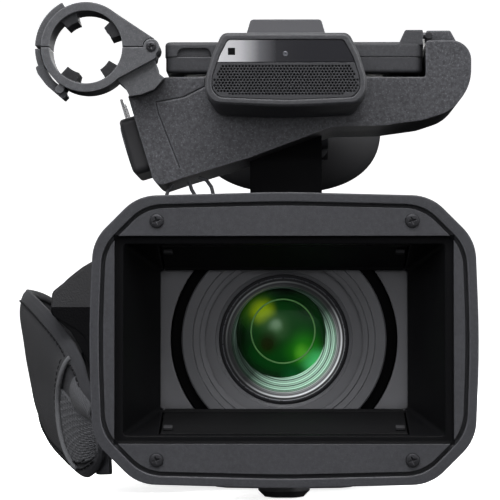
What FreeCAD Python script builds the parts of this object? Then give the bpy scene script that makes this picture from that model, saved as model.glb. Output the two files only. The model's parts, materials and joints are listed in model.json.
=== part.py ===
import FreeCAD, Part
import math
import os
from FreeCAD import Vector as V

# Handheld professional camcorder, modelled as separate pieces.
# Frame: origin at the centre of the tripod thread in the base plate's underside,
# +Z up, the lens looks along -Y, +X is the side with the controls.  Millimetres.

os.makedirs("parts", exist_ok=True)

# ---- driving dimensions -------------------------------------------------
AXIS_Z = 64.0            # lens axis above the table
HOOD_Y0 = -180.0         # front edge of the lens hood
HOOD_HW, HOOD_HH = 72.4, 54.9     # hood outline, half sizes
HOOD_WIN_Y = -135.0      # plane of the rear window of the hood
OPEN_HW, OPEN_HH = 63.0, 38.6     # front opening, half sizes
WIN_HW, WIN_HH = 47.9, 26.8       # rear window, half sizes
HOOD_Y1 = -117.0         # rear end of the hood
RING_R = 44.0            # outside radius of the lens rings
BARREL_R = 39.0          # fixed barrel radius under the rings
FILTER_R = 30.9          # wall radius of the 62 mm filter thread
BODY_X0, BODY_X1 = -46.0, 50.0
BODY_Y0, BODY_Y1 = -36.0, 124.0
BODY_Z0, BODY_Z1 = 6.0, 117.0
DECK_Y0 = -78.0          # front of the upper deck above the lens
TRIPOD_R = 3.2           # 1/4 inch tripod thread
TRIPOD_DEPTH = 5.5
MIC_C = (-79.2, 180.8)   # centre of the microphone clamp, X and Z
MIC_R_IN, MIC_R_OUT = 14.6, 18.0
MIC_BORE_R = 10.6        # free radius between the rubber pads
MIC_Y0, MIC_Y1 = -106.0, -84.0
EVF_PIVOT = (98.0, 163.0)  # Y and Z of the viewfinder pivot


# ---- helpers --------------------------------------------------------------
def box(x0, x1, y0, y1, z0, z1):
    return Part.makeBox(x1 - x0, y1 - y0, z1 - z0, V(x0, y0, z0))


def cyl(r, p, d, h):
    return Part.makeCylinder(r, h, V(*p), V(*d))


def cyl_y(r, y0, y1, x=0.0, z=AXIS_Z):
    return cyl(r, (x, y0, z), (0, 1, 0), y1 - y0)


def ring_y(ro, ri, y0, y1, x=0.0, z=AXIS_Z):
    return cyl_y(ro, y0, y1, x, z).cut(cyl_y(ri, y0 - 1, y1 + 1, x, z))


def round_wire(pts, radii, place):
    """Closed wire of lines and tangent arcs through 2-D points; place maps (u, v) to a 3-D point."""
    n = len(pts)
    if not isinstance(radii, (list, tuple)):
        radii = [radii] * n
    segs = []
    for i in range(n):
        a, b, c = pts[i - 1], pts[i], pts[(i + 1) % n]
        d1 = (a[0] - b[0], a[1] - b[1])
        d2 = (c[0] - b[0], c[1] - b[1])
        l1, l2 = math.hypot(*d1), math.hypot(*d2)
        d1 = (d1[0] / l1, d1[1] / l1)
        d2 = (d2[0] / l2, d2[1] / l2)
        cosv = max(-1, min(1, d1[0] * d2[0] + d1[1] * d2[1]))
        half = math.acos(cosv) / 2
        r = radii[i]
        t = r / math.tan(half)
        lim = 0.49 * min(l1, l2)
        if t > lim:
            t = lim
            r = t * math.tan(half)
        p1 = (b[0] + d1[0] * t, b[1] + d1[1] * t)
        p2 = (b[0] + d2[0] * t, b[1] + d2[1] * t)
        bis = (d1[0] + d2[0], d1[1] + d2[1])
        lb = math.hypot(*bis)
        h = r / math.sin(half)
        cc = (b[0] + bis[0] / lb * h, b[1] + bis[1] / lb * h)
        m = (b[0] - cc[0], b[1] - cc[1])
        lm = math.hypot(*m)
        pm = (cc[0] + m[0] / lm * r, cc[1] + m[1] / lm * r)
        segs.append((p1, pm, p2))
    edges = []
    for i in range(n):
        p1, pm, p2 = segs[i]
        q1 = segs[(i + 1) % n][0]
        edges.append(Part.Arc(V(*place(*p1)), V(*place(*pm)), V(*place(*p2))).toShape())
        edges.append(Part.LineSegment(V(*place(*p2)), V(*place(*q1))).toShape())
    return Part.Wire(edges)


def prism_y(pts, radii, y0, y1):
    w = round_wire(pts, radii, lambda u, v: (u, y0, v))
    return Part.Face(w).extrude(V(0, y1 - y0, 0))


def prism_x(pts, radii, x0, x1):
    w = round_wire(pts, radii, lambda u, v: (x0, u, v))
    return Part.Face(w).extrude(V(x1 - x0, 0, 0))


def prism_z(pts, radii, z0, z1):
    w = round_wire(pts, radii, lambda u, v: (u, v, z0))
    return Part.Face(w).extrude(V(0, 0, z1 - z0))


def rect(x0, x1, y0, y1):
    return [(x0, y0), (x1, y0), (x1, y1), (x0, y1)]


def rbox_y(x0, x1, y0, y1, z0, z1, r):
    return prism_y(rect(x0, x1, z0, z1), r, y0, y1)


def rbox_x(x0, x1, y0, y1, z0, z1, r):
    return prism_x(rect(y0, y1, z0, z1), r, x0, x1)


def rbox_z(x0, x1, y0, y1, z0, z1, r):
    return prism_z(rect(x0, x1, y0, y1), r, z0, z1)


def loft_y(sections):
    """sections: list of (y, points, radii); all with the same number of points."""
    wires = [round_wire(p, r, lambda u, v, y=y: (u, y, v)) for y, p, r in sections]
    return Part.makeLoft(wires, True, True)


def soften(shape, r, pick=None):
    """Fillets the edges that pick accepts, and returns the shape unchanged where the fillet fails."""
    edges = [e for e in shape.Edges if pick is None or pick(e)]
    try:
        out = shape.makeFillet(r, edges)
        if out.isValid() and out.Volume > 0.5 * shape.Volume:
            return out
    except Exception:
        pass
    return shape


def bevel(shape, r, pick):
    edges = [e for e in shape.Edges if pick(e)]
    try:
        out = shape.makeChamfer(r, edges)
        if out.isValid() and out.Volume > 0.5 * shape.Volume:
            return out
    except Exception:
        pass
    return shape


def on_plane(axis, value, tol=0.02):
    k = {"x": 0, "y": 1, "z": 2}[axis]

    def pick(e):
        b = e.BoundBox
        lo = (b.XMin, b.YMin, b.ZMin)[k]
        hi = (b.XMax, b.YMax, b.ZMax)[k]
        return abs(lo - value) < tol and abs(hi - value) < tol

    return pick


def fuse(*shapes):
    s = shapes[0]
    for o in shapes[1:]:
        s = s.fuse(o)
    return s.removeSplitter()


def rot(shape, p, axis, deg):
    s = shape.copy()
    s.rotate(V(*p), V(*axis), deg)
    return s


NODES = {}


def out(name, *shapes):
    """Writes a node: its solids, which may be several separate ones."""
    solids = []
    for s in shapes:
        solids += s.Solids
    assert solids, name
    for s in solids:
        assert s.isValid() and s.Volume > 0.01, (name, s.isValid(), s.Volume)
    shape = solids[0] if len(solids) == 1 else Part.makeCompound(solids)
    shape.exportStep("parts/%s.step" % name)
    NODES[name] = shape
    return shape


# ---- lens hood ---------------------------------------------------------------
def hood_pts(hw, hh, ch, bulge, dz=0.0):
    """Twelve-corner outline: a rectangle with bevelled corners and slightly bowed sides."""
    z = AXIS_Z + dz
    return [
        (-hw + bulge, z - hh + ch), (-hw + ch, z - hh + bulge), (0, z - hh), (hw - ch, z - hh + bulge),
        (hw - bulge, z - hh + ch), (hw, z), (hw - bulge, z + hh - ch), (hw - ch, z + hh - bulge),
        (0, z + hh), (-hw + ch, z + hh - bulge), (-hw + bulge, z + hh - ch), (-hw, z),
    ]


HR = [17, 17, 400, 17, 17, 400, 17, 17, 400, 17, 17, 400]


def hood_sec(y, inset=0.0):
    t = (y - HOOD_Y0) / (HOOD_Y1 - HOOD_Y0)
    k = 0.0 if y < HOOD_Y0 + 9 else (y - HOOD_Y0 - 9) / (HOOD_Y1 - HOOD_Y0 - 9)
    hw = HOOD_HW + (54.0 - HOOD_HW) * k - inset
    hh = HOOD_HH + (48.5 - HOOD_HH) * k - inset
    ch = 18.0 + 4.0 * k
    return (y, hood_pts(hw, hh, ch, 1.4), HR)


def make_hood():
    outer = loft_y([hood_sec(HOOD_Y0), hood_sec(HOOD_Y0 + 9), hood_sec(HOOD_Y1)])
    # tapered light tunnel with its stepped lip
    def win(y, hw, hh, r=1.5):
        return (y, rect(-hw, hw, AXIS_Z - hh, AXIS_Z + hh), r)
    tunnel = loft_y([win(HOOD_Y0 - 1, OPEN_HW - 2.0, OPEN_HH - 2.0), win(HOOD_WIN_Y, WIN_HW, WIN_HH)])
    lip = loft_y([win(HOOD_Y0 - 1, OPEN_HW + 0.2, OPEN_HH + 0.2), win(HOOD_Y0 + 3.2, OPEN_HW - 0.6, OPEN_HH - 0.6)])
    # wider pocket over the flaps so that they fold flat
    socket = cyl_y(44.0, HOOD_WIN_Y - 0.5, HOOD_Y1 + 1)
    window = box(-WIN_HW, WIN_HW, HOOD_WIN_Y - 0.01, HOOD_WIN_Y + 1.6, AXIS_Z - WIN_HH, AXIS_Z + WIN_HH)
    # recess for the front face plate
    plate_cut = loft_y([(HOOD_Y0 - 1, hood_pts(HOOD_HW - 3.4, HOOD_HH - 3.4, 17.0, 1.3), HR),
                        (HOOD_Y0 + 3.0, hood_pts(HOOD_HW - 3.4, HOOD_HH - 3.4, 17.0, 1.3), HR)])
    shell = outer.cut(tunnel).cut(lip).cut(socket).cut(window).cut(plate_cut)
    # recesses for the flap pivots and their fold pockets in floor and roof
    for s in (1, -1):
        w = 46.6
        pk = prism_x([(HOOD_Y0 + 6, AXIS_Z + s * 36.0), (HOOD_WIN_Y + 1.0, AXIS_Z + s * 24.5),
                      (HOOD_WIN_Y + 1.0, AXIS_Z + s * 30.6), (HOOD_Y0 + 6, AXIS_Z + s * 41.2)], 0.3, -w, w)
        shell = shell.cut(pk)
    # screw bosses' clearance holes
    for x, z in SCREWS:
        shell = shell.cut(cyl_y(1.25, HOOD_Y0 + 2, HOOD_Y0 + 9, x, z))
    # thumb screw hole on the left flank of the hood is closed by the lever slot on the other side
    return shell


SCREWS = [(-47.3, AXIS_Z + 44.1), (47.6, AXIS_Z + 44.1), (-47.3, AXIS_Z - 44.6), (47.6, AXIS_Z - 44.6)]
hood = make_hood()

plate_o = loft_y([(HOOD_Y0 + 0.5, hood_pts(HOOD_HW - 5.0, HOOD_HH - 5.0, 16.0, 1.2), HR),
                  (HOOD_Y0 + 3.0, hood_pts(HOOD_HW - 5.0, HOOD_HH - 5.0, 16.0, 1.2), HR)])
plate = plate_o.cut(rbox_y(-OPEN_HW, OPEN_HW, HOOD_Y0 - 1, HOOD_Y0 + 5, AXIS_Z - OPEN_HH, AXIS_Z + OPEN_HH, 1.5))
for x, z in SCREWS:
    plate = plate.cut(cyl_y(1.25, HOOD_Y0, HOOD_Y0 + 5, x, z)).cut(cyl_y(2.6, HOOD_Y0, HOOD_Y0 + 1.7, x, z))
out("hood_front_plate", plate)

screws = []
for x, z in SCREWS:
    s = fuse(cyl_y(2.25, HOOD_Y0 + 0.5, HOOD_Y0 + 1.7, x, z), cyl_y(1.2, HOOD_Y0 + 1.6, HOOD_Y0 + 8.5, x, z))
    s = soften(s, 0.5, on_plane("y", HOOD_Y0 + 0.5))
    s = s.cut(box(x - 1.3, x + 1.3, HOOD_Y0, HOOD_Y0 + 1.2, z - 0.25, z + 0.25))
    s = s.cut(box(x - 0.25, x + 0.25, HOOD_Y0, HOOD_Y0 + 1.2, z - 1.3, z + 1.3))
    screws.append(s)
out("hood_screws", *screws)

# ---- lens shutter flaps and their lever -----------------------------------------
FLAP_Y, FLAP_DZ, FLAP_HW = -137.2, 28.2, 46.0
LEVER_TRAVEL = 12.0


def flap(s):
    z = lambda v: AXIS_Z + s * v
    plate_ = prism_x([(-137.2, z(27.5)), (-137.2, z(29.3)), (-173.0, z(37.3)), (-173.0, z(35.5))], 0.3, -FLAP_HW, FLAP_HW)
    barrel = cyl(1.4, (-FLAP_HW, FLAP_Y, z(FLAP_DZ)), (1, 0, 0), 2 * FLAP_HW)
    pin = cyl(0.82, (-51.0, FLAP_Y, z(FLAP_DZ)), (1, 0, 0), 102.0)
    lip_ = prism_x([(-172.2, z(34.6)), (-172.2, z(36.0)), (-173.4, z(36.2)), (-173.4, z(34.8))], 0.1, -FLAP_HW, FLAP_HW)
    return fuse(plate_, barrel, pin, lip_)


for s, name in ((1, "shutter_flap_upper"), (-1, "shutter_flap_lower")):
    for sx in (1, -1):
        hood = hood.cut(cyl(0.9, (sx * 46.0, FLAP_Y, AXIS_Z + s * FLAP_DZ), (sx, 0, 0), 6.0))
    hood = hood.cut(prism_x([(HOOD_Y0 + 5.5, AXIS_Z + s * 30), (HOOD_WIN_Y + 1.0, AXIS_Z + s * 20),
                             (HOOD_WIN_Y + 1.0, AXIS_Z + s * 30.4), (HOOD_Y0 + 5.5, AXIS_Z + s * 38.8)], 0.2, -46.8, 46.8))
    f = flap(s)
    out(name, f)

# shutter lever, sliding in a vertical slot in the hood's flank
hood = hood.cut(rbox_x(58.0, 80.0, -152.2, -146.2, AXIS_Z - 10.6, AXIS_Z + 10.6, 1.5))
lever = fuse(rbox_x(58.4, 66.0, -151.8, -146.6, AXIS_Z - 10.2, AXIS_Z + 10.2 - LEVER_TRAVEL, 1.2),
             rbox_x(65.9, 67.0, -151.4, -147.0, AXIS_Z - 8.2, AXIS_Z - 3.6, 1.0),
             rbox_x(66.8, 70.2, -153.4, -145.0, AXIS_Z - 9.2, AXIS_Z - 2.6, 1.4))
lever = soften(lever, 0.6, on_plane("x", 70.2))
out("shutter_lever", lever)

# hood clamp screw with a knurled thumb knob, on the grip side of the hood's rear end
hood = hood.fuse(cyl(5.8, (-52.0, -124.0, AXIS_Z), (-1, 0, 0), 6.6)).removeSplitter()
hood = hood.cut(cyl(2.05, (-40.0, -124.0, AXIS_Z), (-1, 0, 0), 30.0))
out("hood_shell", hood)
knob = fuse(cyl(5.0, (-59.0, -124.0, AXIS_Z), (-1, 0, 0), 5.0), cyl(1.98, (-44.3, -124.0, AXIS_Z), (-1, 0, 0), 14.8))
knob = bevel(knob, 0.5, on_plane("x", -64.0))
out("hood_clamp_knob", knob)

# ---- lens ---------------------------------------------------------------------------
def revolve_y(pts, z=AXIS_Z, x=0.0):
    """Solid of revolution about the lens axis from (radius, y) points."""
    w = Part.makePolygon([V(x + r, y, z) for r, y in pts + [pts[0]]])
    return Part.Face(w).revolve(V(x, 0, z), V(0, 1, 0), 360)


front_ring = revolve_y([
    (FILTER_R, -133.0), (32.6, -133.2), (32.8, -132.7), (35.2, -132.9), (35.4, -132.5), (35.6, -132.9), (39.3, -132.7), (39.8, -132.2),
    (39.8, -118.0), (37.0, -118.0), (37.0, -120.5), (25.4, -120.5), (25.4, -127.6), (26.6, -128.2), (26.8, -128.6),
    (FILTER_R, -129.0)])
out("lens_front_ring", front_ring)
out("hood_mount_ring", revolve_y([(39.8, -127.0), (43.6, -127.0), (43.95, -126.6), (43.95, -117.4), (39.8, -117.4)]))

barrel = revolve_y([(37.0, -118.0), (39.0, -118.0), (39.0, -37.0), (39.0, -28.0), (36.4, -28.0), (36.4, -117.9), (37.0, -117.9)])
out("lens_barrel", barrel, ring_y(42.8, 39.01, -86.6, -85.0), ring_y(42.4, 39.01, -64.6, -63.0), ring_y(42.4, 39.01, -49.6, -36.2))

retainer = revolve_y([(25.3, -127.0), (24.7, -127.6), (24.2, -127.0), (23.6, -126.6), (22.9, -127.0), (22.4, -126.0), (21.2, -125.2),
                      (20.9, -123.8), (20.6, -122.4), (20.6, -120.6), (25.3, -120.6)])
out("lens_retainer_ring", retainer)


def element(rim, y_front, sag_f, y_back, sag_b, edge=0.0):
    """A glass element: front surface bulging by sag_f towards -Y, back surface by sag_b towards -Y."""
    a = Part.Arc(V(rim, y_front + sag_f, AXIS_Z), V(rim * 0.7071, y_front + sag_f * 0.4831, AXIS_Z), V(0, y_front, AXIS_Z)).toShape()
    # mid point from the exact sphere
    R = (rim * rim + sag_f * sag_f) / (2 * sag_f)
    rm = rim * 0.6
    ym = y_front + R - math.sqrt(R * R - rm * rm)
    a = Part.Arc(V(rim, y_front + sag_f, AXIS_Z), V(rm, ym, AXIS_Z), V(0, y_front, AXIS_Z)).toShape()
    l1 = Part.LineSegment(V(0, y_front, AXIS_Z), V(0, y_back, AXIS_Z)).toShape()
    if abs(sag_b) > 1e-6:
        R2 = (rim * rim + sag_b * sag_b) / (2 * abs(sag_b))
        sg = 1 if sag_b > 0 else -1
        ym2 = y_back + sg * (R2 - math.sqrt(R2 * R2 - rm * rm))
        b = Part.Arc(V(0, y_back, AXIS_Z), V(rm, ym2, AXIS_Z), V(rim, y_back + sag_b, AXIS_Z)).toShape()
    else:
        b = Part.LineSegment(V(0, y_back, AXIS_Z), V(rim, y_back, AXIS_Z)).toShape()
    l2 = Part.LineSegment(V(rim, y_back + sag_b, AXIS_Z), V(rim, y_front + sag_f, AXIS_Z)).toShape()
    return Part.Face(Part.Wire([a, l1, b, l2])).revolve(V(0, 0, AXIS_Z), V(0, 1, 0), 360)


out("front_element", element(20.5, -127.6, 5.2, -121.6, 2.6))
cell = revolve_y([(36.3, -116.5), (36.3, -60.0), (19.0, -60.0), (19.0, -72.0), (24.0, -72.0), (24.0, -100.0), (20.6, -100.0), (20.6, -116.5)])
out("inner_lens_cell", cell)
out("inner_elements", element(20.5, -115.5, 3.4, -108.0, 0.0), element(18.9, -71.0, 2.0, -64.0, -1.5))
iris = revolve_y([(7.0, -99.0), (20.0, -99.0), (23.9, -98.0), (23.9, -95.0), (7.0, -98.2)])
out("iris_diaphragm", iris)

out("focus_ring", bevel(ring_y(44.0, 39.08, -116.6, -87.0), 0.8, lambda e: e.BoundBox.XLength > 80))
out("zoom_ring", bevel(ring_y(43.4, 39.08, -84.6, -65.0), 0.8, lambda e: e.BoundBox.XLength > 80))
out("iris_ring", bevel(ring_y(42.6, 39.08, -62.6, -50.0), 0.8, lambda e: e.BoundBox.XLength > 80))

# ---- body casings -------------------------------------------------------------------
WALL = 2.6
SEAM_Z = 107.0
body_o = rbox_y(BODY_X0, BODY_X1, BODY_Y0, BODY_Y1, BODY_Z0, SEAM_Z, [14, 14, 2, 2])
body_i = rbox_y(BODY_X0 + WALL, BODY_X1 - WALL, BODY_Y0 + WALL, BODY_Y1 - WALL, BODY_Z0 + WALL, SEAM_Z - 0.001, [12, 12, 1, 1])
body = soften(body_o, 3.0, on_plane("y", BODY_Y0)).cut(body_i)
body = body.cut(cyl_y(39.3, BODY_Y0 - 1, BODY_Y0 + 6))
left = body.common(box(0.1, 200, -200, 200, -50, 300))
right = body.common(box(-200, -0.1, -200, 200, -50, 300))
# pocket in the left casing for the control panel, and the card door opening
PANEL = (-22.0, 74.0, 20.0, 98.0)
left = left.cut(rbox_x(BODY_X1 - 1.4, BODY_X1 + 1, PANEL[0], PANEL[1], PANEL[2], PANEL[3], 4))
DOOR = (80.0, 116.0, 34.0, 96.0)
left = left.cut(rbox_x(BODY_X1 - 3.4, BODY_X1 + 1, DOOR[0], DOOR[1], DOOR[2], DOOR[3], 3))
# tripod boss hole in both floors
left = left.cut(cyl(9.0, (0, 0, 0), (0, 0, 1), 20))
right = right.cut(cyl(9.0, (0, 0, 0), (0, 0, 1), 20))
out("body_casing_left", left)
out("body_casing_right", right)

# top cover with the deck that reaches forward above the lens rings
top_pts = [(BODY_X0, BODY_Y1), (BODY_X0, BODY_Y0), (-30.0, BODY_Y0 - 10), (-24.0, DECK_Y0), (28.0, DECK_Y0), (34.0, BODY_Y0 - 10),
           (BODY_X1, BODY_Y0), (BODY_X1, BODY_Y1)]
top = prism_z(top_pts, [6, 6, 8, 6, 6, 8, 6, 6], SEAM_Z + 0.2, BODY_Z1)
top = top.cut(box(-60, 60, DECK_Y0 - 5, BODY_Y0 - 0.5, 100, 109.4))
top = top.cut(box(-40, 44, BODY_Y0 + 5, BODY_Y1 - 5, 100, BODY_Z1 - 3))
top = soften(top, 3.5, on_plane("z", BODY_Z1))
out("top_cover", top)

# base plate with the tripod thread; its nose shows under the hood
base_pts = [(-30, 86), (-32, -14), (-26, -23), (-10.5, -27), (-10.5, -82), (-6, -92), (6, -92), (10.5, -82), (10.5, -27), (26, -23), (32, -14), (30, 86)]
base_ = prism_z(base_pts, [10, 8, 4, 4, 6, 6, 6, 6, 4, 4, 8, 10], 0.0, BODY_Z0 - 0.1)
base_ = bevel(base_, 2.6, on_plane("z", 0.0))
base_ = base_.cut(cyl(TRIPOD_R, (0, 0, -1), (0, 0, 1), TRIPOD_DEPTH + 1))
base_ = base_.cut(cyl(2.6, (0, 18.0, -1), (0, 0, 1), 4.5))
base_ = fuse(base_, cyl(8.6, (0, 0, BODY_Z0 - 0.3), (0, 0, 1), 4.0))
out("base_plate", base_)

# ---- inside the body ---------------------------------------------------------------
chassis = rbox_y(-38, 42, -26, 116, 12.0, 15.0, 1.0).fuse(box(-38, 42, -26, -23, 12, 100))
chassis = chassis.cut(cyl_y(34.0, -30, -20)).cut(cyl(9.2, (0, 0, 8), (0, 0, 1), 10)).removeSplitter()
out("main_chassis", chassis)
out("sensor_board", fuse(box(-20, 20, -22.0, -20.4, AXIS_Z - 18, AXIS_Z + 18), box(-10, 10, -23.0, -21.9, AXIS_Z - 7, AXIS_Z + 7)),
    box(-34, 38, 0, 104, 24.0, 25.6))

# ---- hand grip, on the -X flank -------------------------------------------------------
GRIP_Y0, GRIP_Y1 = -62.0, 74.0
g_pts = [(-46.2, 105.0), (-70.0, 101.5), (-82.0, 95.0), (-96.5, 83.5), (-97.0, 74.0), (-83.0, 66.0), (-78.5, 48.0),
         (-78.5, 30.0), (-72.0, 19.0), (-46.2, 17.0)]
g_r = [1.0, 8, 8, 3.5, 3.5, 10, 12, 8, 8, 1.0]


def grip_sec(y, s, dz=0.0):
    return (y, [(-46.2 + (x + 46.2) * s, 60 + (z - 60) * (0.5 + 0.5 * s) + dz) for x, z in g_pts], g_r)


grip = loft_y([grip_sec(GRIP_Y0 + 3, 1.0), grip_sec(26, 1.0), grip_sec(GRIP_Y1, 0.78)])
grip = fuse(grip, prism_y([(x * 0.985 - 0.7, z * 0.985 + 0.9) if x < -47 else (x, z * 0.985 + 0.9) for x, z in g_pts], g_r, GRIP_Y0, GRIP_Y0 + 3.01))
# cheek under the shoulder, in front of the fingers
grip = grip.fuse(prism_y([(-60.0, 90.0), (-92.0, 82.0), (-95.6, 76.0), (-94.6, 72.4), (-88.4, 67.0), (-84.6, 60.5), (-81.0, 53.5), (-78.0, 44.0), (-60.0, 40.0)],
                         [1, 3, 2, 2, 4, 6, 6, 2, 1], GRIP_Y0 + 0.2, GRIP_Y0 + 11.0)).removeSplitter()
grip = max(grip.Solids, key=lambda s_: s_.Volume)
grip = grip.cut(cyl_y(46.0, GRIP_Y0 - 5, BODY_Y0 - 0.0))
# seats for the zoom rocker on the shoulder and the record button on the back
rock_c = V(-86.83, -12.0, 88.88)
slope = math.degrees(math.atan2(95.0 - 83.5, 96.5 - 82.0))


def on_slope(shape):
    """Places a shape modelled around the origin, +Z outward, on the grip's sloping shoulder."""
    s = shape.copy()
    s.rotate(V(0, 0, 0), V(0, 1, 0), -slope)
    s.translate(rock_c)
    return s


grip = grip.cut(on_slope(rbox_z(-6.4, 6.4, -20.9, 20.9, -3.4, 4.0, 6.0)))
grip = grip.cut(on_slope(cyl(1.08, (-6.0, 0, -5.6), (1, 0, 0), 12.0)))
grip = grip.cut(on_slope(box(-3.2, 3.2, -3.2, 3.2, -8.0, 0)))
rocker = rbox_z(-5.9, 5.9, -19.6, 19.6, 0.9, 3.9, 5.8)
rocker = rocker.cut(cyl(60.0, (-10, 0, 62.6), (1, 0, 0), 20.0))
rocker = rocker.fuse(box(-2.4, 2.4, -2.2, 2.2, -5.8, 1.2)).fuse(cyl(0.98, (-5.6, 0, -5.6), (1, 0, 0), 11.2)).removeSplitter()
out("grip_zoom_rocker", on_slope(rocker))
ROCKER_AXIS_POS = on_slope(Part.Vertex(0, 0, -5.6)).Point

# record button and power dial on the grip's rear end
rec_c = (-66.0, 76.0)
grip = grip.cut(cyl_y(8.2, GRIP_Y1 - 5, GRIP_Y1 + 1, rec_c[0], rec_c[1])).cut(cyl_y(3.1, GRIP_Y1 - 9, GRIP_Y1, rec_c[0], rec_c[1]))
dial = ring_y(8.0, 5.2, GRIP_Y1 - 4.6, GRIP_Y1 + 3.0, rec_c[0], rec_c[1])
dial = fuse(dial, rbox_y(rec_c[0] - 1.4, rec_c[0] + 1.4, GRIP_Y1 + 0.3, GRIP_Y1 + 3.0, rec_c[1] + 6.0, rec_c[1] + 12.0, 1.0))
out("power_dial", dial)
btn = fuse(cyl_y(4.3, GRIP_Y1 - 2.0, GRIP_Y1 + 3.6, rec_c[0], rec_c[1]), cyl_y(2.9, GRIP_Y1 - 6.0, GRIP_Y1 - 1.9, rec_c[0], rec_c[1]))
btn = soften(btn, 0.7, on_plane("y", GRIP_Y1 + 3.6))
out("record_button", btn)
grip = grip.removeSplitter()
out("grip_shell", grip)

# ---- hand strap: padded belt with its webbing, and the two brackets it is held by ------
STRAP = [  # y, (x, z) of the top edge, (x, z) of the bottom edge
    (-79.0, (-79.5, 45), (-78.7, 12)), (-71.0, (-82.4, 55), (-80.6, 9.5)), (-56.0, (-89.0, 65), (-86.5, 10.5)),
    (-36.0, (-99.8, 76), (-94.0, 15)), (-8.0, (-109.0, 83), (-100.5, 21)), (24.0, (-113.2, 85), (-104.0, 30)),
    (54.0, (-107.8, 83), (-101.0, 40)), (78.0, (-96.5, 75), (-93.5, 50)), (90.0, (-86.0, 70), (-85.0, 55))]


def strap_solid(stations, t, inset=0.0):
    wires = []
    n = len(stations)
    for i, (y, a, b) in enumerate(stations):
        y0, y1 = stations[max(0, i - 1)], stations[min(n - 1, i + 1)]
        tx = ((y1[1][0] + y1[2][0]) - (y0[1][0] + y0[2][0])) / 2
        ty = y1[0] - y0[0]
        l = math.hypot(tx, ty)
        nx, ny = -ty / l, tx / l          # outward, towards -X
        ax, az, bx, bz = a[0], a[1] - inset, b[0], b[1] + inset
        p = [V(ax + nx * t, y + ny * t, az), V(bx + nx * t, y + ny * t, bz), V(bx, y, bz), V(ax, y, az)]
        wires.append(Part.makePolygon(p + [p[0]]))
    return Part.makeLoft(wires, True, True)


out("hand_strap", strap_solid(STRAP, 5.0))
br_front = rbox_x(-78.0, -74.0, -82.0, GRIP_Y0 - 0.2, 13.0, 39.0, 3.0).fuse(rbox_y(-78.0, -60.0, -65.4, GRIP_Y0 - 0.2, 24.0, 38.0, 1.5)).removeSplitter()
br_rear = rbox_x(-84.0, -80.6, GRIP_Y1 - 4, 92.0, 52.0, 72.0, 3.0).fuse(rbox_y(-84.0, -56.0, GRIP_Y1 + 0.1, GRIP_Y1 + 3.2, 54.0, 66.0, 1.5)).removeSplitter()
br_rear = br_rear.cut(grip)
out("strap_brackets", br_front, *[s for s in br_rear.Solids if s.Volume > 50])

# ---- handle ------------------------------------------------------------------------------
HF = [(-63.0, 162.2), (-47.8, 169.6), (57.2, 169.6), (57.2, 184.4), (75.6, 184.4), (75.4, 166.0), (67.5, 156.0), (56.0, 152.2),
      (39.4, 149.9), (20.0, 149.6), (12.9, 147.1), (-13.9, 137.1), (-38.6, 129.6), (-51.8, 125.2)]
HF_R = [1.2, 3.0, 1.2, 1.2, 8.0, 22.0, 16.0, 12.0, 30.0, 12.0, 12.0, 3.0, 3.0, 4.0]
HF_Y0, HF_Y1 = -95.0, -34.5
hf = prism_y(HF, HF_R, HF_Y0, HF_Y1)
low = [e for e in hf.Edges if on_plane("y", HF_Y0)(e) and e.BoundBox.ZMin < 166.1 and not (e.BoundBox.XMax < -52.0 and e.BoundBox.ZMax > 150)
       and e.BoundBox.ZMax < 166.5 and e.BoundBox.XMin > -54.5]
try:
    t_ = hf.makeChamfer(3.4, low)
    hf = t_ if t_.isValid() else hf
except Exception:
    pass
# seam between the jack side module and the front cover: a fine groove
seam = [(-31.8, 170.5), (-31.8, 166.0), (-40.6, 161.6), (-51.6, 159.6), (-50.6, 155.0), (-42.0, 133.0)]
for (xa, za), (xb, zb) in zip(seam, seam[1:]):
    l = math.hypot(xb - xa, zb - za)
    b_ = Part.makeBox(l, 0.9, 0.5, V(0, HF_Y0 - 0.4, -0.25))
    b_.rotate(V(0, 0, 0), V(0, 1, 0), -math.degrees(math.atan2(zb - za, xb - xa)))
    b_.translate(V(xa, 0, za))
    hf = hf.cut(b_)

TILT = 16.6
JX, JZ = -63.0, 162.2


def on_jack(shape):
    """Local frame of the slanted jack face: -X outward, -Z down along the face."""
    s = shape.copy()
    s.rotate(V(0, 0, 0), V(0, 1, 0), -TILT)
    s.translate(V(JX, 0, JZ))
    return s


hf = hf.cut(on_jack(rbox_x(-20, 14.0, -91.2, -41.8, -31.6, -7.8, 3.0)))
# front of the mic unit's bracket and posts
JACK_Y = (-79.0, -54.0)
blk = rbox_x(-6.6, 13.6, -91.0, -42.0, -31.4, -8.0, 3.0)
blk = soften(blk, 1.6, on_plane("x", -6.6))
for y in JACK_Y:
    blk = blk.cut(cyl(8.8, (-7.0, y, -19.7), (1, 0, 0), 15.0))
    blk = blk.cut(box(-4.4, -0.5, y - 3.3, y + 3.3, -11.0, -7.0))
core = []
for y in JACK_Y:
    c_ = cyl(7.0, (0.5, y, -19.7), (1, 0, 0), 7.6)
    for a in (90, 210, 330):
        c_ = c_.cut(cyl(1.3, (0, y + 3.9 * math.cos(math.radians(a)), -19.7 + 3.9 * math.sin(math.radians(a))), (1, 0, 0), 6.0))
    core.append(c_)
blk = fuse(blk, *core)
out("xlr_block", on_jack(blk))
for y, name in zip(JACK_Y, ("xlr_release_tab_front", "xlr_release_tab_rear")):
    tab = box(-4.0, -2.8, y - 2.9, y + 2.9, -10.8, 0.6)
    tab = tab.cut(box(-5, -2, y - 1.4, y + 1.4, -5.4, -1.2))
    out(name, on_jack(tab))

# cable hooks under the housing's low corner
def hook(pts, y=-88.0, r=0.75):
    poly = []
    for i in range(len(pts) - 1):
        (xa, za), (xb, zb) = pts[i], pts[i + 1]
        l = math.hypot(xb - xa, zb - za)
        c_ = cyl(r, (xa, y, za), ((xb - xa) / l, 0, (zb - za) / l), l)
        poly.append(c_)
        poly.append(Part.makeSphere(r, V(xb, y, zb)))
    s = poly[0]
    for p in poly[1:]:
        s = s.fuse(p)
    return s.removeSplitter()


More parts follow.
